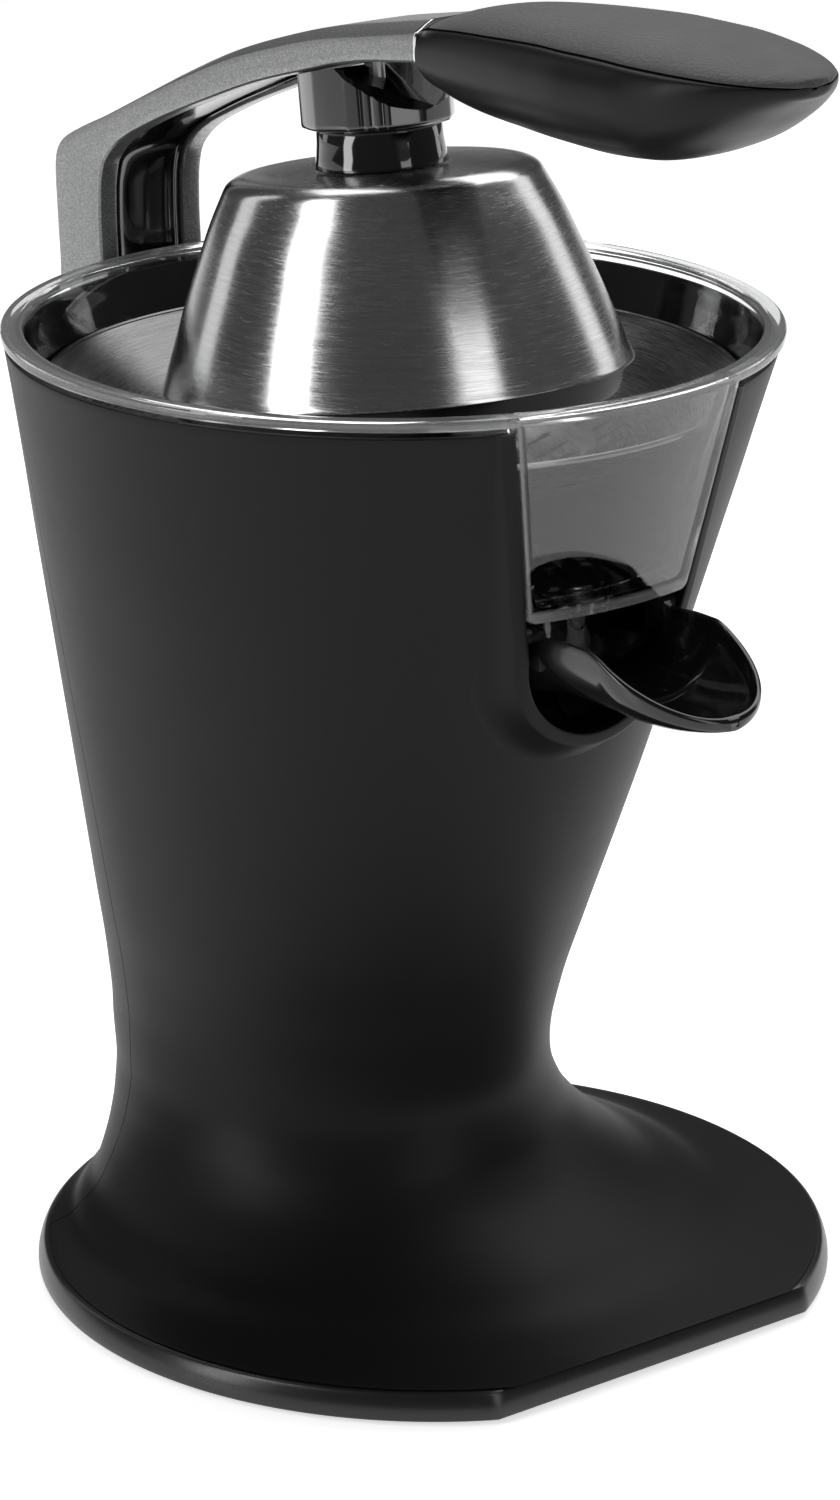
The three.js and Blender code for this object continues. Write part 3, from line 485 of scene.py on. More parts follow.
def chrome():
    m = Mat("trim_chrome", (0.82, 0.82, 0.83), 0.08, 1.0)
    m.set("Roughness", m.rng(m.noise(300, 4, 0.6), 0.05, 0.14, 0.3, 0.7))
    return m.m


M["arm_silver"], M["grip_soft"], M["bowl_clear"], M["trim_chrome"] = silver_paint(), soft_touch(), clear_plastic(), chrome()

# CAD nodes that stay visible get the same finishes
for s in frame["record"]["subparts"]:
    o = frame["nodes"][s["node"]]
    o.data.materials.clear()
    o.data.materials.append(M[s["material_slot"]])

# ------------------------------------------------------------------ housings
NA = 264


def angles(z, bf_key=True):
    """Angles round the body; two of them fall on the ends of the flat front."""
    a, yw, bf, bb = sec(z)
    s = (FLAT_Y - yw) / bf
    phi = math.asin(max(-0.999, s)) if s > -1 else -math.pi / 2 * 0.72
    phi = max(min(phi, math.radians(-58)), math.radians(-86)) if s > -1 else math.radians(-63.4)
    n1 = 44
    right, left = phi, -math.pi - phi
    out = [left + (right - left) * i / n1 for i in range(n1)]
    return out + [right + (left + TAU - right) * i / (NA - n1) for i in range(NA - n1)]


def body_ring(z, off=0.0, at=None):
    at = z if at is None else at
    a, yw, bf, bb = sec(at)
    return [((a - off) * math.cos(t), max(yw + math.sin(t) * ((bf if math.sin(t) < 0 else bb) - off), FLAT_Y + off), z) for t in angles(at)]


def z_steps(z0, z1, step):
    zz = np.concatenate([np.linspace(z0, min(z1, 14), 160), np.linspace(14, z1, 700)[1:]]) if z1 > 14 else np.linspace(z0, z1, 100)
    w = np.array([sec(z)[0] for z in zz])
    s = np.concatenate([[0], np.cumsum(np.hypot(np.diff(zz), np.diff(w)))])
    n = int(s[-1] / step)
    return np.interp(np.linspace(0, s[-1], n + 1), s, zz)


STEP = 2.0
outer = [body_ring(8.3, 0.9), body_ring(8.36, 0.35), body_ring(8.55, 0.1)]
outer += [body_ring(z) for z in z_steps(8.8, 236.2, STEP)]
outer += [body_ring(236.6, 0.12), body_ring(236.85, 0.42), body_ring(236.9, 0.8)]
inner = [body_ring(z, 2.3, min(z + 2.6, 241)) for z in (236.9, 236.5, 228, 212, 196, 180, 165, 150, 135, 120, 105, 90, 76, 62, 48, 38, 30, 24, 19, 15, 12, 9.6)] + [body_ring(8.3, 6.0, 10.2)]
shell = loft_vf(outer + inner, caps=(False, False))
n = NA
rows = len(outer) + len(inner)
V, F = shell
F += [((rows - 1) * n + i, (rows - 1) * n + (i + 1) % n, (i + 1) % n, i) for i in range(n)]


def mouth_outline(grow, top=246):
    pts = []
    for z in np.linspace(top, 188.5, 40):
        pts.append((-(24.1 + (z - 188.5) * 9.8 / 52.5) - grow, z))
    for z in np.linspace(188.5, 178.5, 8)[1:]:
        pts.append((-(21.9 + (z - 178.5) * 0.22) - grow, z))
    r = 21.9 + grow
    for i in range(1, 49):
        t = math.pi + math.pi * i / 48
        pts.append((r * math.cos(t), 178.5 + r * math.sin(t)))
    for z in np.linspace(178.5, 188.5, 8)[1:]:
        pts.append((21.9 + (z - 178.5) * 0.22 + grow, z))
    for z in np.linspace(188.5, top, 40)[1:]:
        pts.append((24.1 + (z - 188.5) * 9.8 / 52.5 + grow, z))
    return pts


def half(vf, y_plane, keep_front):
    me = bpy.data.meshes.new("half")
    me.from_pydata([P(v) for v in vf[0]], [], vf[1])
    bm = bmesh.new()
    bm.from_mesh(me)
    bmesh.ops.recalc_face_normals(bm, faces=bm.faces)
    co = P((0, y_plane, 0))
    g = bmesh.ops.bisect_plane(bm, geom=bm.verts[:] + bm.edges[:] + bm.faces[:], dist=1e-7, plane_co=co, plane_no=(0, 1 if keep_front else -1, 0), clear_outer=True)
    cut = [e for e in g["geom_cut"] if isinstance(e, bmesh.types.BMEdge)]
    bmesh.ops.holes_fill(bm, edges=cut)
    bmesh.ops.recalc_face_normals(bm, faces=bm.faces)
    bm.to_mesh(me)
    bm.free()
    return me


def add(name, me, body, mat, hides=(), angle=32):
    ob = bpy.data.objects.new(name, me)
    bpy.context.scene.collection.objects.link(ob)
    me.materials.clear()
    me.materials.append(mat)
    finish_mesh(ob, angle)
    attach(ob, body)
    if hides:
        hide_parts(*hides)
    return ob


front = add("housing_front_skin", half((V, F), 41.85, True), "housing", M["housing_black"], ["front_housing"])
boolean(front, ("DIFFERENCE", tool(prism_vf(mouth_outline(1.2), "y", -120, -55))))

# frame round the window and the mouth
rings = []
outline = mouth_outline(0, 236.9)
for i, (x, z) in enumerate(outline):
    a, b = outline[max(i - 1, 0)], outline[min(i + 1, len(outline) - 1)]
    tx, tz = b[0] - a[0], b[1] - a[1]
    L = math.hypot(tx, tz)
    nx, nz = tz / L, -tx / L       # outward, away from the opening
    if nx * x < 0 and abs(x) > 3:
        nx, nz = -nx, -nz
    if abs(x) <= 3:
        nx, nz = (nx, nz) if nz < 0 else (-nx, -nz)
    if i in (0, len(outline) - 1):
        nx, nz = (math.copysign(1, x), 0)
    xo, zo = x + nx * 5, min(z + nz * 5, 236.9)
    h = max(0.25, body_y(xo, zo) - plane_y(xo, zo))
    prof = [(0, h + 2.3), (0, h * 0.5 + 1.4), (0, 0.9), (0.06, 0.5), (0.22, 0.2), (0.5, 0.04), (0.9, 0), (1.8, 0), (2.6, 0), (3.0, 0.06),
            (3.35, 0.24), (3.6, 0.5), (3.7 + 0.06 * h, 0.5 + 0.22 * h), (3.75 + 0.18 * h, 0.5 + 0.5 * h), (3.85 + 0.34 * h, 0.5 + 0.76 * h), (4.0 + 0.55 * h, 0.6 + 0.95 * h), (4.3 + 0.8 * h, h + 1.0), (3.2, h + 1.8), (1.5, h + 2.1)]
    ring = []
    for d, s in prof:
        X, Z = x + nx * d, min(z + nz * d, 236.9)
        ring.append((X, plane_y(X, Z) + s, Z))
    rings.append(ring)
make("mouth_frame", *loft_vf(rings), "housing", "housing_black", M["housing_black"], 30)

rear = add("housing_rear_skin", half((V, F), 42.15, False), "housing", M["housing_black"], ["rear_housing"])
cheek = [(86, 172), (103, 178), (119.8, 206), (121.5, 213), (121.3, 217), (117, 224), (108, 226.5), (86, 226.5)]
for sx, x0, x1 in ((1, 16.6, 23.6), (-1, -23.6, -16.6)):
    c = make("bracket_cheek_" + ("right" if sx > 0 else "left"), *prism_vf(cheek, "x", x0, x1), "housing", "housing_black", M["housing_black"])
    bevel(c, 1.1, 4)
c = make("bracket_block", *prism_vf([(86, 160), (98, 163), (112.5, 188), (112.5, 200), (98, 203), (86, 203)], "x", -17.5, 17.5), "housing", "housing_black", M["housing_black"])
bevel(c, 0.9, 4)
steps = []
for i in (-2, -1, 1, 2):
    xc = i * 11 + (3 if i > 0 else -3)
    slot_pts = [(xc + 2 * math.cos(t), 52 + 2 + 2 * math.sin(t)) for t in np.linspace(math.pi, TAU, 13)] + [(xc + 2 * math.cos(t), 84 - 2 + 2 * math.sin(t)) for t in np.linspace(0, math.pi, 13)]
    steps.append(("DIFFERENCE", tool(prism_vf(slot_pts, "y", 60, 110))))
circ = [(6.5 * math.cos(TAU * i / 64), 26 + 6.5 * math.sin(TAU * i / 64)) for i in range(64)]
steps.append(("DIFFERENCE", tool(prism_vf(circ, "y", 70, 95))))
boolean(rear, *steps)

# ------------------------------------------------------------------ foot
def base_ring(z, off):
    return body_ring(z, off, 2.5)


rings = [base_ring(1.0, 1.0), base_ring(1.12, 0.55), base_ring(1.45, 0.15), base_ring(1.9, 0.0), base_ring(3.6, 0.05), base_ring(5.4, 0.5), base_ring(6.9, 1.15),
         base_ring(7.45, 1.45), base_ring(7.8, 1.85), base_ring(7.97, 2.4), base_ring(8.0, 3.2), base_ring(8.0, 5.4), base_ring(5.0, 5.6), base_ring(4.0, 6.0)]
base = make("base_skin", *loft_vf(rings), "housing", "base_black", M["base_black"], 30, ["base_plate"])
steps = []
for x, y in ((-56, -72), (56, -72), (-60, 42), (60, 42)):
    V2, F2 = lathe_vf([(0, 0), (9.5, 0), (9.5, 2.3), (0, 2.3)], 48, (x, y))
    steps.append(("DIFFERENCE", tool((V2, F2))))
for x, y in ((48, -5), (-48, -5), (44, 55), (-44, 55)):
    steps.append(("DIFFERENCE", tool(lathe_vf([(0, 0), (3.9, 0), (3.9, 2.9), (1.9, 2.9), (1.9, 5.5), (0, 5.5)], 40, (x, y)))))
for i in range(-2, 3):
    x = i * 9
    pts = [(x + 1.8 * math.cos(t), 11.8 + 1.8 * math.sin(t)) for t in np.linspace(math.pi, TAU, 11)] + [(x + 1.8 * math.cos(t), 42.2 + 1.8 * math.sin(t)) for t in np.linspace(0, math.pi, 11)]
    steps.append(("DIFFERENCE", tool(prism_vf(pts, "z", 0, 5.5))))
boolean(base, *steps, angle=30)

# ------------------------------------------------------------------ clear bowl
bowl_out = [(91.3, 238.6), (90.2, 234), (87.3, 225), (83.2, 213), (78.8, 200), (75.9, 191.5), (74, 188), (71, 185.4), (68, 184.4), (64, 184)]
bowl_out = [tuple(p) for p in smooth_path(bowl_out, 2.0)]
bowl_in = [(15.8, 191.2), (40, 188.8), (63.5, 186.4), (67, 186.6), (70, 188.3), (73.3, 192.3), (76.7, 200.6), (81, 213), (85.3, 225.6), (88.6, 235.5)]
bowl_in = [tuple(p) for p in smooth_path(bowl_in, 2.0)]
rim = [(89.2, 238.6), (89.45, 240.2), (89.7, 240.75), (90.2, 241.0), (91.2, 241.0), (92.8, 241.0), (94.2, 241.0), (94.65, 240.85), (94.92, 240.5), (95, 240.0), (95, 239.2), (94.9, 238.75), (94.6, 238.6), (93, 238.6)]
profile = bowl_out + [(40, 186.2), (14, 188.4), (13.6, 188.6), (13.6, 202.6), (13.9, 203), (15.5, 203), (15.8, 202.7)] + bowl_in + rim
SEG = 224
bowl = make("bowl_clear_skin", *lathe_vf(profile, SEG), "housing", "bowl_clear", M["bowl_clear"], 28, ["juice_bowl"])


def front_block(back, shift, z0, z1, halfw=44, n=48):
    out = []
    for z in (z0, z1):
        pts = [(-halfw, back, z)] + [(-halfw + 2 * halfw * i / n, plane_y(-halfw + 2 * halfw * i / n, z) + shift, z) for i in range(n + 1)] + [(halfw, back, z)]
        out.append(pts)
    return loft_vf(out)


def mouth_trap(grow, top, bottom):
    w = lambda z: 24.1 + (z - 188.5) * 9.8 / 52.5 + grow
    r = 1.6
    return [(-w(bottom) + r, bottom), (w(bottom) - r, bottom), (w(bottom) - r * 0.3, bottom + r * 0.3), (w(bottom + r), bottom + r), (w(top), top), (-w(top), top), (-w(bottom + r), bottom + r), (-w(bottom) + r * 0.3, bottom + r * 0.3)]


win = tool(front_block(-60, 0.0, 188.5, 240.4))
boolean(win, ("INTERSECT", tool(prism_vf(mouth_trap(-0.35, 240.4, 188.5), "y", -110, -60.5))),
        ("DIFFERENCE", tool(lathe_vf([(0, 186)] + [(r, z) for r, z in bowl_in if z > 186.3 and r > 60] + [(89.2, 238.8), (89.7, 243), (0, 243)], SEG))))
void = tool(front_block(-60, 2.8, 192, 238.6))
boolean(void, ("INTERSECT", tool(prism_vf(mouth_trap(-3.4, 238.6, 192), "y", -110, -60.2))))
noz = tool(lathe_vf([(0, 173.0), (9.9, 173.0), (10.25, 173.15), (10.4, 173.5), (10.4, 187.0), (0, 187.0)], 72, (0, -65)))
bore = tool(lathe_vf([(0, 170), (8.4, 170), (8.4, 191), (0, 191)], 72, (0, -65)))
boolean(bowl, ("UNION", win), ("DIFFERENCE", void), ("UNION", noz), ("DIFFERENCE", bore), angle=28)

# ------------------------------------------------------------------ strainer
def slotted_dish():
    top = smooth_path([(17.2, 200.1), (26, 200.9), (36, 202.1), (43, 204.6), (50, 207.5), (59, 211.9), (68, 216.4), (75, 221.0), (82.0, 225.5), (83.2, 226.4), (84.0, 227.2)], 0.8)
    rs, zs = top[:, 0], top[:, 1]
    nt = 576
    def hole(r, k):
        for r0, r1, count, half_w in ((24, 34, 16, 0.95), (38, 47, 32, 0.75), (51, 58, 48, 0.6)):
            if r0 <= r <= r1:
                a = (k + 0.5) / nt * count + (0.25 if count == 16 else 0.5)
                d = abs(a - round(a)) / count * TAU * r
                return d < half_w
        return False
    Vv, Ff = [], []
    idx = {}
    def vid(i, k, s):
        key = (i, k % nt, s)
        if key not in idx:
            t = TAU * (k % nt) / nt
            idx[key] = len(Vv)
            Vv.append((rs[i] * math.cos(t), rs[i] * math.sin(t), zs[i] - (0.9 if s else 0)))
        return idx[key]
    solid = [[not hole((rs[i] + rs[i + 1]) / 2, k) for k in range(nt)] for i in range(len(rs) - 1)]
    for i in range(len(rs) - 1):
        for k in range(nt):
            if not solid[i][k]:
                continue
            q = [(i, k), (i + 1, k), (i + 1, k + 1), (i, k + 1)]
            Ff.append(tuple(vid(a, b, 0) for a, b in q))
            Ff.append(tuple(vid(a, b, 1) for a, b in reversed(q)))
            for (di, dk), (p, r) in {(0, -1): ((i, k), (i + 1, k)), (1, 0): ((i + 1, k), (i + 1, k + 1)), (0, 1): ((i + 1, k + 1), (i, k + 1)), (-1, 0): ((i, k + 1), (i, k))}.items():
                a, b = i + di, (k + dk) % nt
                if a < 0 or a >= len(rs) - 1 or not solid[a][b]:
                    Ff.append((vid(*p, 1), vid(*r, 1), vid(*r, 0), vid(*p, 0)))
    return Vv, Ff


dish = slotted_dish()
lip = lathe_vf([(83.7, 226.3), (84.4, 226.0), (84.85, 226.3), (84.9, 226.9), (84.7, 227.4), (84.2, 227.5), (83.7, 227.2)], SEG)
make("strainer_skin", *merge(dish, lip), "housing", "strainer_steel", M["strainer_steel"], 30, ["strainer"])

# ------------------------------------------------------------------ reamer
rr = [(206.2, 32.4, 0), (206.5, 33, 0), (208.0, 33, 0), (208.4, 32.6, 0.01), (210, 29.8, 0.1), (214, 28.4, 0.15), (219, 26.8, 0.18), (226, 24.2, 0.21), (233, 21.2, 0.22), (240, 17.4, 0.215), (245, 14.3, 0.2), (250, 10.4, 0.16), (254, 6.7, 0.11), (257, 3.2, 0.05), (258.2, 0.9, 0)]
fr, fa = pchip([p[0] for p in rr], [p[1] for p in rr]), pchip([p[0] for p in rr], [p[2] for p in rr])
rings = []
nt = 320
for z in np.concatenate([[206.2, 206.5, 208.0, 208.4], np.linspace(208.8, 254, 60), np.linspace(254.5, 258.2, 9)]):
    r, amp = float(fr(z)), float(fa(z))
    ring = []
    for i in range(nt):
        t = TAU * i / nt
        k = 1 + amp * (abs(math.cos(5 * t)) ** 1.4 - 0.62)
        ring.append((r * k * math.cos(t), r * k * math.sin(t), z))
    rings.append(ring)
ream = make("reamer_skin", *loft_vf(rings), "spindle", "reamer_black", M["reamer_black"], 40, ["reamer_cone"])
hexa = [(4.95 * math.cos(TAU * i / 6), 4.95 * math.sin(TAU * i / 6)) for i in range(6)]
boolean(ream, ("DIFFERENCE", tool(prism_vf(hexa, "z", 200, 225.4))), angle=40)

# ------------------------------------------------------------------ hood
TILT = math.radians(-7.1)
HM = Matrix.Translation((0, -1.9, 227.8)) @ Matrix.Rotation(TILT, 4, "X")


def hooded(vf):
    return [tuple(HM @ Vector(v)) for v in vf[0]], vf[1]


def arc(cx, cz, r, a0, a1, n):
    return [(cx + r * math.cos(math.radians(a0 + (a1 - a0) * i / n)), cz + r * math.sin(math.radians(a0 + (a1 - a0) * i / n))) for i in range(n + 1)]


HS = 288
side_out = [tuple(p) for p in smooth_path([(57.2, 1.2), (54.2, 9.5), (50.4, 20), (46.5, 30), (42.6, 39.5), (38.75, 47.2)], 1.6)]
shoulder = [(38.45, 47.75), (38.05, 48.35), (37.45, 48.95), (36.6, 49.5), (35.6, 49.95), (34.5, 50.28), (33.2, 50.4)]
side_in = [(33.2, 49.4), (36.0, 48.6), (38.2, 46.4), (41.2, 39), (49.3, 19.7), (56.0, 1.6)]
shell_prof = [(56.35, 0.55), (56.5, 0.15), (56.85, 0.0), (57.2, 0.08), (57.45, 0.35), (57.45, 0.75)] + side_out + shoulder + [(20, 50.4), (3.2, 50.4), (3.2, 49.4)] + side_in
make("hood_shell_skin", *hooded(lathe_vf(shell_prof, HS)), "lever", "hood_steel", M["hood_steel"], 34, ["hood_shell"])
lin_out = [tuple(p) for p in smooth_path([(53.6, -6.2), (55.4, -0.5), (55.8, 0.8), (52.5, 9.8), (48.8, 19.6), (44.8, 29.2), (40.75, 38.8), (37.9, 45)], 2.0)]
lin_in = [tuple(p) for p in smooth_path([(32.6, 46.4), (34.9, 44.6), (38.6, 37.8), (42.7, 28.3), (46.6, 18.9), (50.2, 9), (53.4, -0.2), (51.9, -5.6)], 2.0)]
liner_prof = [(51.35, -7.1), (51.7, -7.4), (52.4, -7.5), (52.95, -7.2)] + lin_out + [(36.6, 47.2), (34, 49.05), (3.2, 49.05), (3.2, 46.6)] + lin_in
make("hood_liner_skin", *hooded(lathe_vf(liner_prof, HS)), "lever", "liner_black", M["liner_black"], 34, ["hood_liner"])
neck_prof = [(2.85, 50.75), (15.7, 50.75), (16.1, 51.0), (16.15, 51.6), (15.75, 54), (15.4, 57.2), (15.2, 60.0), (14.9, 60.4), (2.85, 60.4)]
make("hood_neck_skin", *hooded(lathe_vf(neck_prof, 128)), "lever", "neck_black", M["neck_black"], 34, ["hood_neck"])


def boss():
    # many-faced boss with soft corners and three shallow grooves towards the front left
    nt, rings = 360, []
    def radius(t):
        k = 12
        u = (t / TAU * k) % 1 - 0.5
        flat = math.cos(math.pi / k) / math.cos(u * TAU / k)
        r = 18.75 * (0.35 + 0.65 * flat) if abs(u) < 0.47 else 18.75 * (0.35 + 0.65 * math.cos(math.pi / k) / math.cos(0.47 * TAU / k))
        for g in (-8.5, 0.0, 8.5):
            d = math.degrees(math.atan2(math.sin(t - math.radians(230 + g)), math.cos(t - math.radians(230 + g))))
            r -= 0.42 * math.exp(-(d / 1.5) ** 2)
        return r
    under = pchip([-60, -28.6, -7.6, 12.5, 34.2, 56.6], [314.8, 309.65, 306.45, 301.25, 294.85, 286.4])
    cutz = pchip([-60, -30, -17, 3, 10], [280, 288.3, 292.0, 305.8, 311])
    n_z = 26
    for s in range(-4, n_z + 1):
        ring = []
        for i in range(nt):
            t = TAU * i / nt
            r = radius(t)
            if s < 0:
                k = (s + 4) / 4
                r -= 1.35 * (1 - math.sqrt(max(0, 1 - (1 - k) ** 2)))
                lz = 60.75 + 1.35 * k
                w = HM @ Vector((r * math.cos(t), r * math.sin(t), lz))
            else:
                a, b = HM @ Vector((r * math.cos(t), r * math.sin(t), 62.1)), HM @ Vector((r * math.cos(t), r * math.sin(t), 92))
                lim = a.z + 4.0
                f = s / n_z
                # top follows the arm's underside, and slopes away at the front
                top = b
                for _ in range(6):
                    zt = min(float(under(top.y)), float(cutz(top.y)) if top.y < 3 else 1e9)
                    u = (zt - a.z) / (b.z - a.z)
                    top = a.lerp(b, u)
                w = a.lerp(top, f)
            ring.append(tuple(w))
        rings.append(ring)
    return loft_vf(rings)


make("hood_boss_skin", *boss(), "lever", "neck_black", M["neck_black"], 34, ["hood_boss"])

# ------------------------------------------------------------------ arm
arm_top = [(121, 222), (120.2, 232.7), (120.8, 241.8), (121.7, 256), (121.7, 260.5), (121.0, 263.6), (118.6, 266.7), (115.5, 268.6), (100.2, 275.4), (79.5, 285), (65.5, 291.3), (45.1, 299.6), (28.6, 304.9), (7.1, 310.7), (-7.6, 313.5), (-28.6, 317.5)]
arm_low = [(101, 222), (101, 239.3), (101.6, 246.8), (101.5, 257.2), (100.1, 263), (95.2, 268.7), (87.9, 273.4), (73.8, 279.9), (56.6, 286.8), (34.2, 295.2), (12.5, 301.6), (-7.6, 306.8), (-28.6, 310)]


def param(pts, n):
    p = np.array(pts, float)
    s = np.concatenate([[0], np.cumsum(np.hypot(*np.diff(p, axis=0).T))])
    t = np.linspace(0, s[-1], n)
    return np.stack([pchip(s, p[:, 0])(t), pchip(s, p[:, 1])(t)], 1)


# matching stations: straight leg, bend, arch
def stations(n_leg, n_bend, n_arch):
    def split(pts, k0, k1):
        return pts[:k0 + 1], pts[k0:k1 + 1], pts[k1:]
    tl, tb, ta = split(arm_top, 3, 8)
    ll, lb, la = split(arm_low, 3, 6)
    out = []
    for a, b, m in ((tl, ll, n_leg), (tb, lb, n_bend), (ta, la, n_arch)):
        A, B = param(a, m), param(b, m)
        out += list(zip(A, B))[(1 if out else 0):]
    return out


ST = stations(16, 22, 64)
# one light smoothing pass, ends kept
TT, LL = np.array([s[0] for s in ST]), np.array([s[1] for s in ST])
for _ in range(2):
    TT[1:-1] = (TT[:-2] + 2 * TT[1:-1] + TT[2:]) / 4
    LL[1:-1] = (LL[:-2] + 2 * LL[1:-1] + LL[2:]) / 4


def arm_section(T, L, chan, crown=1.0):
    """Closed outline: x and share along L to T. chan is the depth of the channel from the low edge."""
    D = math.hypot(*(T - L))
    u = (T - L) / D
    W, C = 16.0, 10.3
    rise = 2.1 * crown
    half_pts = []
    e = 1.1
    half_pts += [(C, 0.75), (C + 0.22, 0.25), (C + 0.8, 0.0), (W - 1.5, 0.0), (W - 0.7, 0.22), (W - 0.2, 0.75), (W, 1.5)]
    half_pts += [(W, D * 0.35), (W, D * 0.7), (W, D - e - 0.2), (W - 0.12, D - 0.55), (W - 0.5, D - 0.1)]
    half_pts += [(13.4, D + rise * 0.5), (11.7, D + rise * 0.86), (11.2, D + rise * 0.955), (10.6, D + rise), (7, D + rise * 1.02), (3.5, D + rise * 1.03), (0, D + rise * 1.035)]
    right = half_pts
    left = [(-x, d) for x, d in reversed(half_pts[:-1])]
    ch = max(chan, 0.9)
    inner = [(-C, ch * 0.5), (-C, ch - 0.4), (-C + 0.4, ch), (0, ch), (C - 0.4, ch), (C, ch - 0.4), (C, ch * 0.5)]
    pts = right + left + inner
    return [(x, L[0] + u[0] * d, L[1] + u[1] * d) for x, d in pts]


rings = []
# round heel about the hinge, solid
hy, hz = 111.0, 215.0
for t in np.linspace(math.radians(88), 0, 16):
    T = np.array([hy + 10 * math.cos(t), hz - 10 * math.sin(t)])
    L = np.array([hy - 10 * math.cos(t), hz - 10 * math.sin(t)])
    rings.append(arm_section(T, L, 0.9, 0.0))
for i, (T, L) in enumerate(zip(TT, LL)):
    D = math.hypot(*(T - L))
    z = L[1]
    chan = (D - 3.0) if z > 228.6 else 0.9
    crown = min(1.0, max(0.0, (T[1] - 263.5) / 7)) if i < 40 else 1.0
    if i and z > 228.6 and LL[i - 1][1] <= 228.6:
        rings.append(arm_section(T, L, 0.9, crown))
    rings.append(arm_section(T, L, chan, crown))
arm = make("lever_arm_skin", *loft_vf(rings), "lever", "arm_silver", M["arm_silver"], 24, ["lever_arm"])
boolean(arm, ("DIFFERENCE", tool(prism_vf([(hy + 3.35 * math.cos(TAU * i / 64), hz + 3.35 * math.sin(TAU * i / 64)) for i in range(64)], "x", -30, 30))), angle=24)

rings = []
for i, (T, L) in enumerate(zip(TT, LL)):
    if L[1] < 228.9 or L[0] < -25.2:
        continue
    D = math.hypot(*(T - L))
    u = (T - L) / D
    top, C = D - 3.3, 9.95
    dish = min(3.2, max(0.3, top - 3.5))
    pts = [(C, 1.9), (C - 0.35, 1.6)] + [(C * math.cos(a) * 0.93, 1.7 + dish * math.sin(a)) for a in np.linspace(0.06, math.pi - 0.06, 25)] + [(-C + 0.35, 1.6), (-C, 1.9), (-C, top), (C, top)]
    rings.append([(x, L[0] + u[0] * d, L[1] + u[1] * d) for x, d in pts])
make("arm_lining_skin", *loft_vf(rings), "lever", "lining_black", M["lining_black"], 32, ["arm_lining"])

# ------------------------------------------------------------------ grip
GRIP = [[-30.2, 17, 320.4, 302], [-39.5, 18.7, 323.4, 300.2], [-50.8, 20.7, 325.6, 299.5], [-64, 22.9, 327.1, 299.3], [-79, 25.1, 328.3, 299], [-94, 26.4, 329.1, 299], [-109, 26.2, 329.2, 300],
        [-122.5, 24, 328.4, 304.2], [-132.9, 19.8, 327.1, 310], [-140.5, 14.6, 325.8, 315.3], [-145.5, 9.4, 324.9, 318.4], [-148.2, 5, 324.1, 320], [-149, 1.2, 323.0, 321.4]]
g = np.array(GRIP)
gs = np.concatenate([[0], np.cumsum(np.sqrt(np.sum(np.diff(g, axis=0) ** 2, axis=1)))])
GF = [pchip(gs, g[:, k]) for k in range(4)]
PL = pchip([150, 140, 125, 105, 85, 58, 45, 30.2][::-1], [322.4, 323, 323.7, 324, 323.6, 321.6, 320.3, 318.2][::-1])


def part_z(y):
    return float(PL(-y))


def grip_point(s, t):
    y, w, zt, zb = [float(f(s)) for f in GF]
    zc = zb + (zt - zb) * 0.6
    c, sn = math.cos(t), math.sin(t)
    e = 0.85 if sn > 0 else 0.8
    return (w * math.copysign(abs(c) ** e, c), y, zc + math.copysign(abs(sn) ** e, sn) * ((zt - zc) if sn > 0 else (zc - zb)))


def split_angle(s):
    y = float(GF[0](s))
    target = part_z(y)
    lo, hi = -math.pi / 2 * 0.98, math.pi / 2 * 0.98
    for _ in range(40):
        mid = (lo + hi) / 2
        if grip_point(s, mid)[2] < target:
            lo = mid
        else:
            hi = mid
    return (lo + hi) / 2


def rear_bevel(z):
    return float(np.interp(z, [290, 300, 310, 318], [-41.5, -37.5, -30.2, -30.2]))


ns = 150
ss = gs[-1] * (1 - (1 - np.linspace(0, 1, ns)) ** 1.35)
top_rings, low_rings = [], []
for s in ss:
    a = split_angle(s)
    y0 = float(GF[0](s))
    ring = []
    m = 56
    for i in range(m + 1):
        t = a + (math.pi - 2 * a) * i / m
        p = list(grip_point(s, t))
        k = min(i, m - i)
        if k < 3:   # rounded edge of the insert, drawn in to leave a shadow line
            f = (0.42, 0.14, 0.03)[k]
            p[0] -= math.copysign(f, p[0])
            p[2] += (0.12, 0.02, 0.0)[k]
        ring.append(tuple(p))
    zed = ring[0][2]
    ring += [(x, y0, zed - 0.25) for x in np.linspace(ring[-1][0], ring[0][0], 9)[1:-1]]
    top_rings.append(ring)
    ring = []
    m = 64
    for i in range(m + 1):
        t = a - (math.pi + 2 * a) * i / m
        p = list(grip_point(s, t))
        k = min(i, m - i)
        if k < 3:
            f = (0.5, 0.18, 0.04)[k]
            p[0] -= math.copysign(f, p[0])
            p[2] -= (0.28, 0.06, 0.0)[k]
        if p[1] > -60:
            p[1] = -60 + (p[1] + 60) * (rear_bevel(p[2]) + 60) / (-30.2 + 60)
        ring.append(tuple(p))
    zed = ring[0][2]
    ring += [(x, ring[0][1], zed - 0.35) for x in np.linspace(ring[-1][0], ring[0][0], 9)[1:-1]]
    low_rings.append(ring)
make("grip_insert_skin", *loft_vf(top_rings), "lever", "grip_soft", M["grip_soft"], 50, ["grip_insert"])
make("grip_shell_skin", *loft_vf(low_rings), "lever", "grip_shell_black", M["grip_shell_black"], 50, ["grip_shell"])

rings = []
Tn, Ln = TT[-1], LL[-1]
outl = arm_section(Tn, Ln, 7.0, 1.0)
for y, grow in ((-28.75, -0.1), (-28.85, 0.35), (-29.3, 0.5), (-29.8, 0.45), (-30.0, 0.1)):
    ring = []
    cz = (Tn[1] + Ln[1]) / 2
    for x, _, z in outl[:37]:
        ring.append((x * (1 + grow / 16), y, cz + (z - cz) * (1 + grow / 6)))
    rings.append(ring)
make("grip_trim_skin", *loft_vf(rings), "lever", "trim_chrome", M["trim_chrome"], 32, ["grip_trim"])

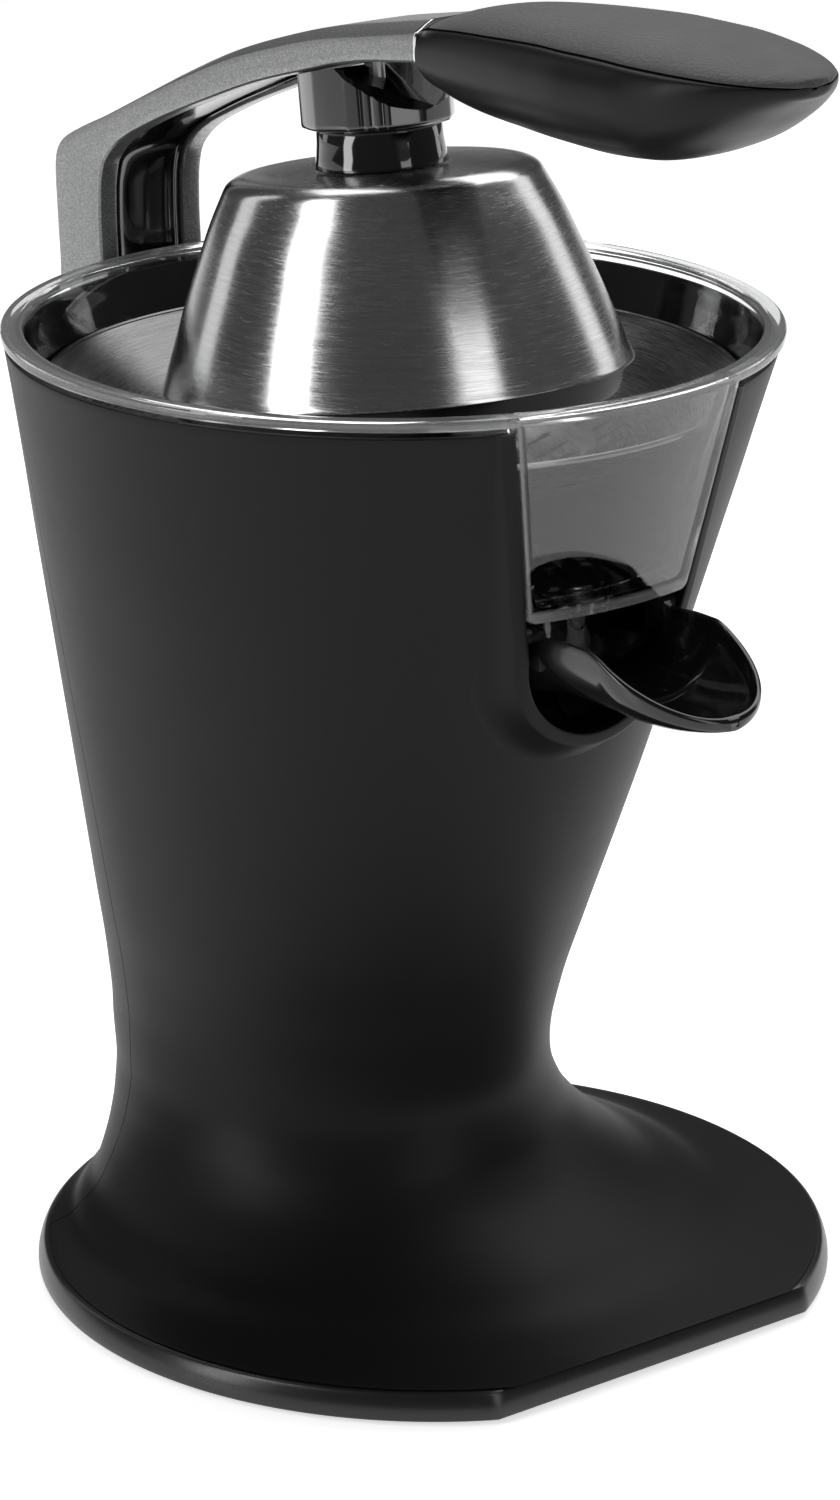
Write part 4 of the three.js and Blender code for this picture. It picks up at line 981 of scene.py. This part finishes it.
# ------------------------------------------------------------------ spout
rim_f = pchip([50, 71.9, 76, 77.5, 79, 80.5, 84, 93, 98, 101, 105, 110, 127.5], [176, 176, 179.6, 181.4, 183.0, 184.0, 184.5, 185.3, 185.3, 184.4, 182.5, 180.1, 172.0])


def spout_section(yo, yi):
    def hw(y, w, tip):
        base_w = w - 0.45 * min(max(y + 76, 0), 10)
        return base_w if y > -103 else max(0.6, w * math.sqrt(max(0.0, 1 - ((-103 - y) / (-103 - tip)) ** 2)))

    def u_pts(y, w, drop, tip, flare):
        h = hw(y, w, tip)
        top = float(rim_f(-y))
        bot = 167.4 + drop + (((-103 - y) / 24.6) ** 2 * 2.6 if y < -103 else 0)
        k = min(1.0, max(0.0, (-72 - y) / 5.0))
        r = min(10, h * 0.8, (top - bot) * 0.75)
        rx, rz = r + (max(h - 2, h * 0.7) - r) * k, r + (min(14, (top - bot) * 0.85) - r) * k
        out = []
        for i in range(25):
            a = math.pi + math.pi / 2 * i / 24
            out.append([-h + rx + rx * math.cos(a), y, bot + rz + rz * math.sin(a)])
        pre = [[-h, y, top], [-h, y, top * 0.6 + (bot + rz) * 0.4], [-h, y, top * 0.25 + (bot + rz) * 0.75]]
        p = pre + out + [[0, y, bot]] + [[-q[0], q[1], q[2]] for q in reversed(pre + out)]
        for q in p:      # the wall thins towards its rim
            f = max(0.0, (q[2] - (top - 5)) / 5) * flare
            if abs(q[0]) > 1e-6:
                q[0] += math.copysign(min(f, 0.9), q[0])
            if y < -103:
                q[1] -= f * min(1.0, (-103 - y) / 18)
        return [tuple(q) for q in p]

    O, I = u_pts(yo, 20.0, 0.0, -127.5, 0.0), u_pts(yi, 17.6, 2.2, -125.2, 0.9)

    def lipped(a, b):
        out = []
        for k in (1, 2, 3, 4, 5):
            t = math.pi * k / 6
            c = (1 - math.cos(t)) / 2
            out.append((a[0] + (b[0] - a[0]) * c, a[1] + (b[1] - a[1]) * c, a[2] + (b[2] - a[2]) * c + 0.45 * math.sin(t)))
        return out
    return O + lipped(O[-1], I[-1]) + I[::-1] + lipped(I[0], O[0])


rings = []
for t in np.concatenate([np.linspace(0, 0.7, 56), 0.7 + 0.3 * np.sin(np.linspace(0, math.pi / 2, 44))[1:]]):
    rings.append(spout_section(-50 - 77.45 * t, -50.2 - 74.95 * t))
sp = loft_vf(rings)
back = prism_vf([(x, z) for x, z in [(-15.2, 175.5), (-15.2, 177), (-13, 172), (-8, 168.2), (8, 168.2), (13, 172), (15.2, 177), (15.2, 175.5)][0:1] + [(-15.2, 174), (-12, 169.6), (-7, 167.8), (7, 167.8), (12, 169.6), (15.2, 174), (15.2, 175.5)]], "y", -52.6, -50.1)


def floor_z(y):
    return 169.6 + (((-103 - y) / 24.6) ** 2 * 2.6 if y < -103 else 0)


def ridge(x0, y0, x1, y1, w=0.9, h=0.7):
    """A low rounded rib lying on the trough's floor and climbing its sides."""
    rings = []
    dx, dy = x1 - x0, y1 - y0
    L = math.hypot(dx, dy)
    nx, ny = -dy / L, dx / L
    for t in np.linspace(0, 1, 24):
        x, y = x0 + dx * t, y0 + dy * t
        hw = 17.6 if y > -103 else 17.6 * math.sqrt(max(0, 1 - ((-103 - y) / 22.2) ** 2))
        rx, z = max(hw - 2, hw * 0.7), floor_z(y)
        rz = min(14, (float(rim_f(-y)) - z) * 0.85)
        ax = abs(x) - (hw - rx)
        if ax > 0:
            z += rz - rz * math.sqrt(max(0.0, 1 - min(ax / rx, 0.999) ** 2))
        k = min(1, min(t, 1 - t) * 8)
        rings.append([(x + nx * w * c, y + ny * w * c, z - 0.4 + (h * k + 0.4) * s) for c, s in ((-0.5, 0), (-0.42, 0.6), (-0.2, 0.95), (0.2, 0.95), (0.42, 0.6), (0.5, 0))])
    return loft_vf(rings)


ribs = [ridge(-15.0, -99.5, 15.0, -99.5, 1.0, 0.8)] + [ridge(x, -87, x, -98.5, 0.8, 0.5) for x in (-11.5, 11.5)] + [ridge(x, -101, x, y1, 0.8, 0.5) for x, y1 in ((-11, -112), (-5, -117), (5, -117), (11, -112))]
pins = []
for x0, x1 in ((17.6, 25.3), (-25.3, -17.6)):
    pins.append(prism_vf([(-77.5 + 1.8 * math.cos(TAU * i / 40), 184 + 1.8 * math.sin(TAU * i / 40)) for i in range(40)], "x", x0, x1))
lugs = []
for x0, x1 in ((18.0, 19.9), (-19.9, -18.0)):
    lugs.append(prism_vf([(-74, 176), (-81, 176), (-81, 185.9), (-80, 186.1), (-75.4, 186.1), (-74.4, 185.4)], "x", x0, x1))
make("spout_skin", *merge(sp, back, *ribs, *pins, *lugs), "spout", "spout_black", M["spout_black"], 36, ["spout"])

# ------------------------------------------------------------------ studio
def stage_mesh(name, verts, faces, mat):
    me = bpy.data.meshes.new(name)
    me.from_pydata(verts, [], faces)
    ob = bpy.data.objects.new(name, me)
    bpy.context.scene.collection.objects.link(ob)
    me.materials.append(mat)
    me.shade_smooth()
    return ob


floor_m = Mat("studio_floor", (0.9, 0.9, 0.9), 0.5)
floor_m.b.inputs["Specular IOR Level"].default_value = 0.3
floor_m.b.inputs["Emission Color"].default_value = (1, 1, 1, 1)
floor_m.b.inputs["Emission Strength"].default_value = 0.62
floor_m.set("Roughness", floor_m.rng(floor_m.noise(8, 3, 0.5), 0.34, 0.42, 0.3, 0.7))
stage_mesh("studio_floor", [(-7, -7, 0), (7, -7, 0), (7, 7, 0), (-7, 7, 0)], [(0, 1, 2, 3)], floor_m.m)

world = bpy.data.worlds.new("studio")
bpy.context.scene.world = world
world.use_nodes = True
wn = world.node_tree
bg = wn.nodes["Background"]
bg.inputs["Strength"].default_value = WORLD
pale = wn.nodes.new("ShaderNodeBackground")
pale.inputs["Color"].default_value = (0.93, 0.93, 0.93, 1)
lp, mx = wn.nodes.new("ShaderNodeLightPath"), wn.nodes.new("ShaderNodeMixShader")
wn.links.new(lp.outputs["Is Camera Ray"], mx.inputs[0])
wn.links.new(bg.outputs[0], mx.inputs[1])
wn.links.new(pale.outputs[0], mx.inputs[2])
wn.links.new(mx.outputs[0], wn.nodes["World Output"].inputs[0])
bg.inputs["Color"].default_value = (1, 1, 1, 1)


def area(name, az, el, dist, size, power, target=(0, 0, 0.18)):
    """A softbox at azimuth az (degrees from +X towards +Y) and elevation el about the target."""
    d = bpy.data.lights.new(name, "AREA")
    d.shape, d.size, d.size_y, d.energy = "RECTANGLE", size[0], size[1], power
    o = bpy.data.objects.new(name, d)
    bpy.context.scene.collection.objects.link(o)
    t = Vector(target)
    a, e = math.radians(az), math.radians(el)
    o.location = t + Vector((math.cos(a) * math.cos(e), math.sin(a) * math.cos(e), math.sin(e))) * dist
    o.rotation_euler = (o.location - t).to_track_quat("Z", "Y").to_euler()
    return o


CAM = -127.9
area("strip_left", CAM - 61, 25, 1.5, (0.46, 1.5), 11.5)
area("strip_right", CAM + 43, 25, 1.5, (0.5, 1.5), 4.6)
area("side_left", CAM - 118, 22, 1.6, (0.4, 1.2), 1.5)
area("side_right", CAM + 125, 22, 1.6, (0.4, 1.2), 2.0)
area("top_back", CAM + 158, 60, 1.7, (2.0, 1.6), 24)

cam = bpy.data.cameras.new("camera")
cam.lens, cam.sensor_width, cam.sensor_fit = 125.77, 36.0, "AUTO"
cam.clip_end = 30
co = bpy.data.objects.new("camera", cam)
bpy.context.scene.collection.objects.link(co)
eye, aim = Vector(P((-751.9, -975.9, 556.1))), Vector(P((5.06, -3.94, 130.63)))
co.location = eye
co.rotation_euler = (eye - aim).to_track_quat("Z", "Y").to_euler()
bpy.context.scene.camera = co
bpy.context.scene.view_settings.view_transform = "Standard"
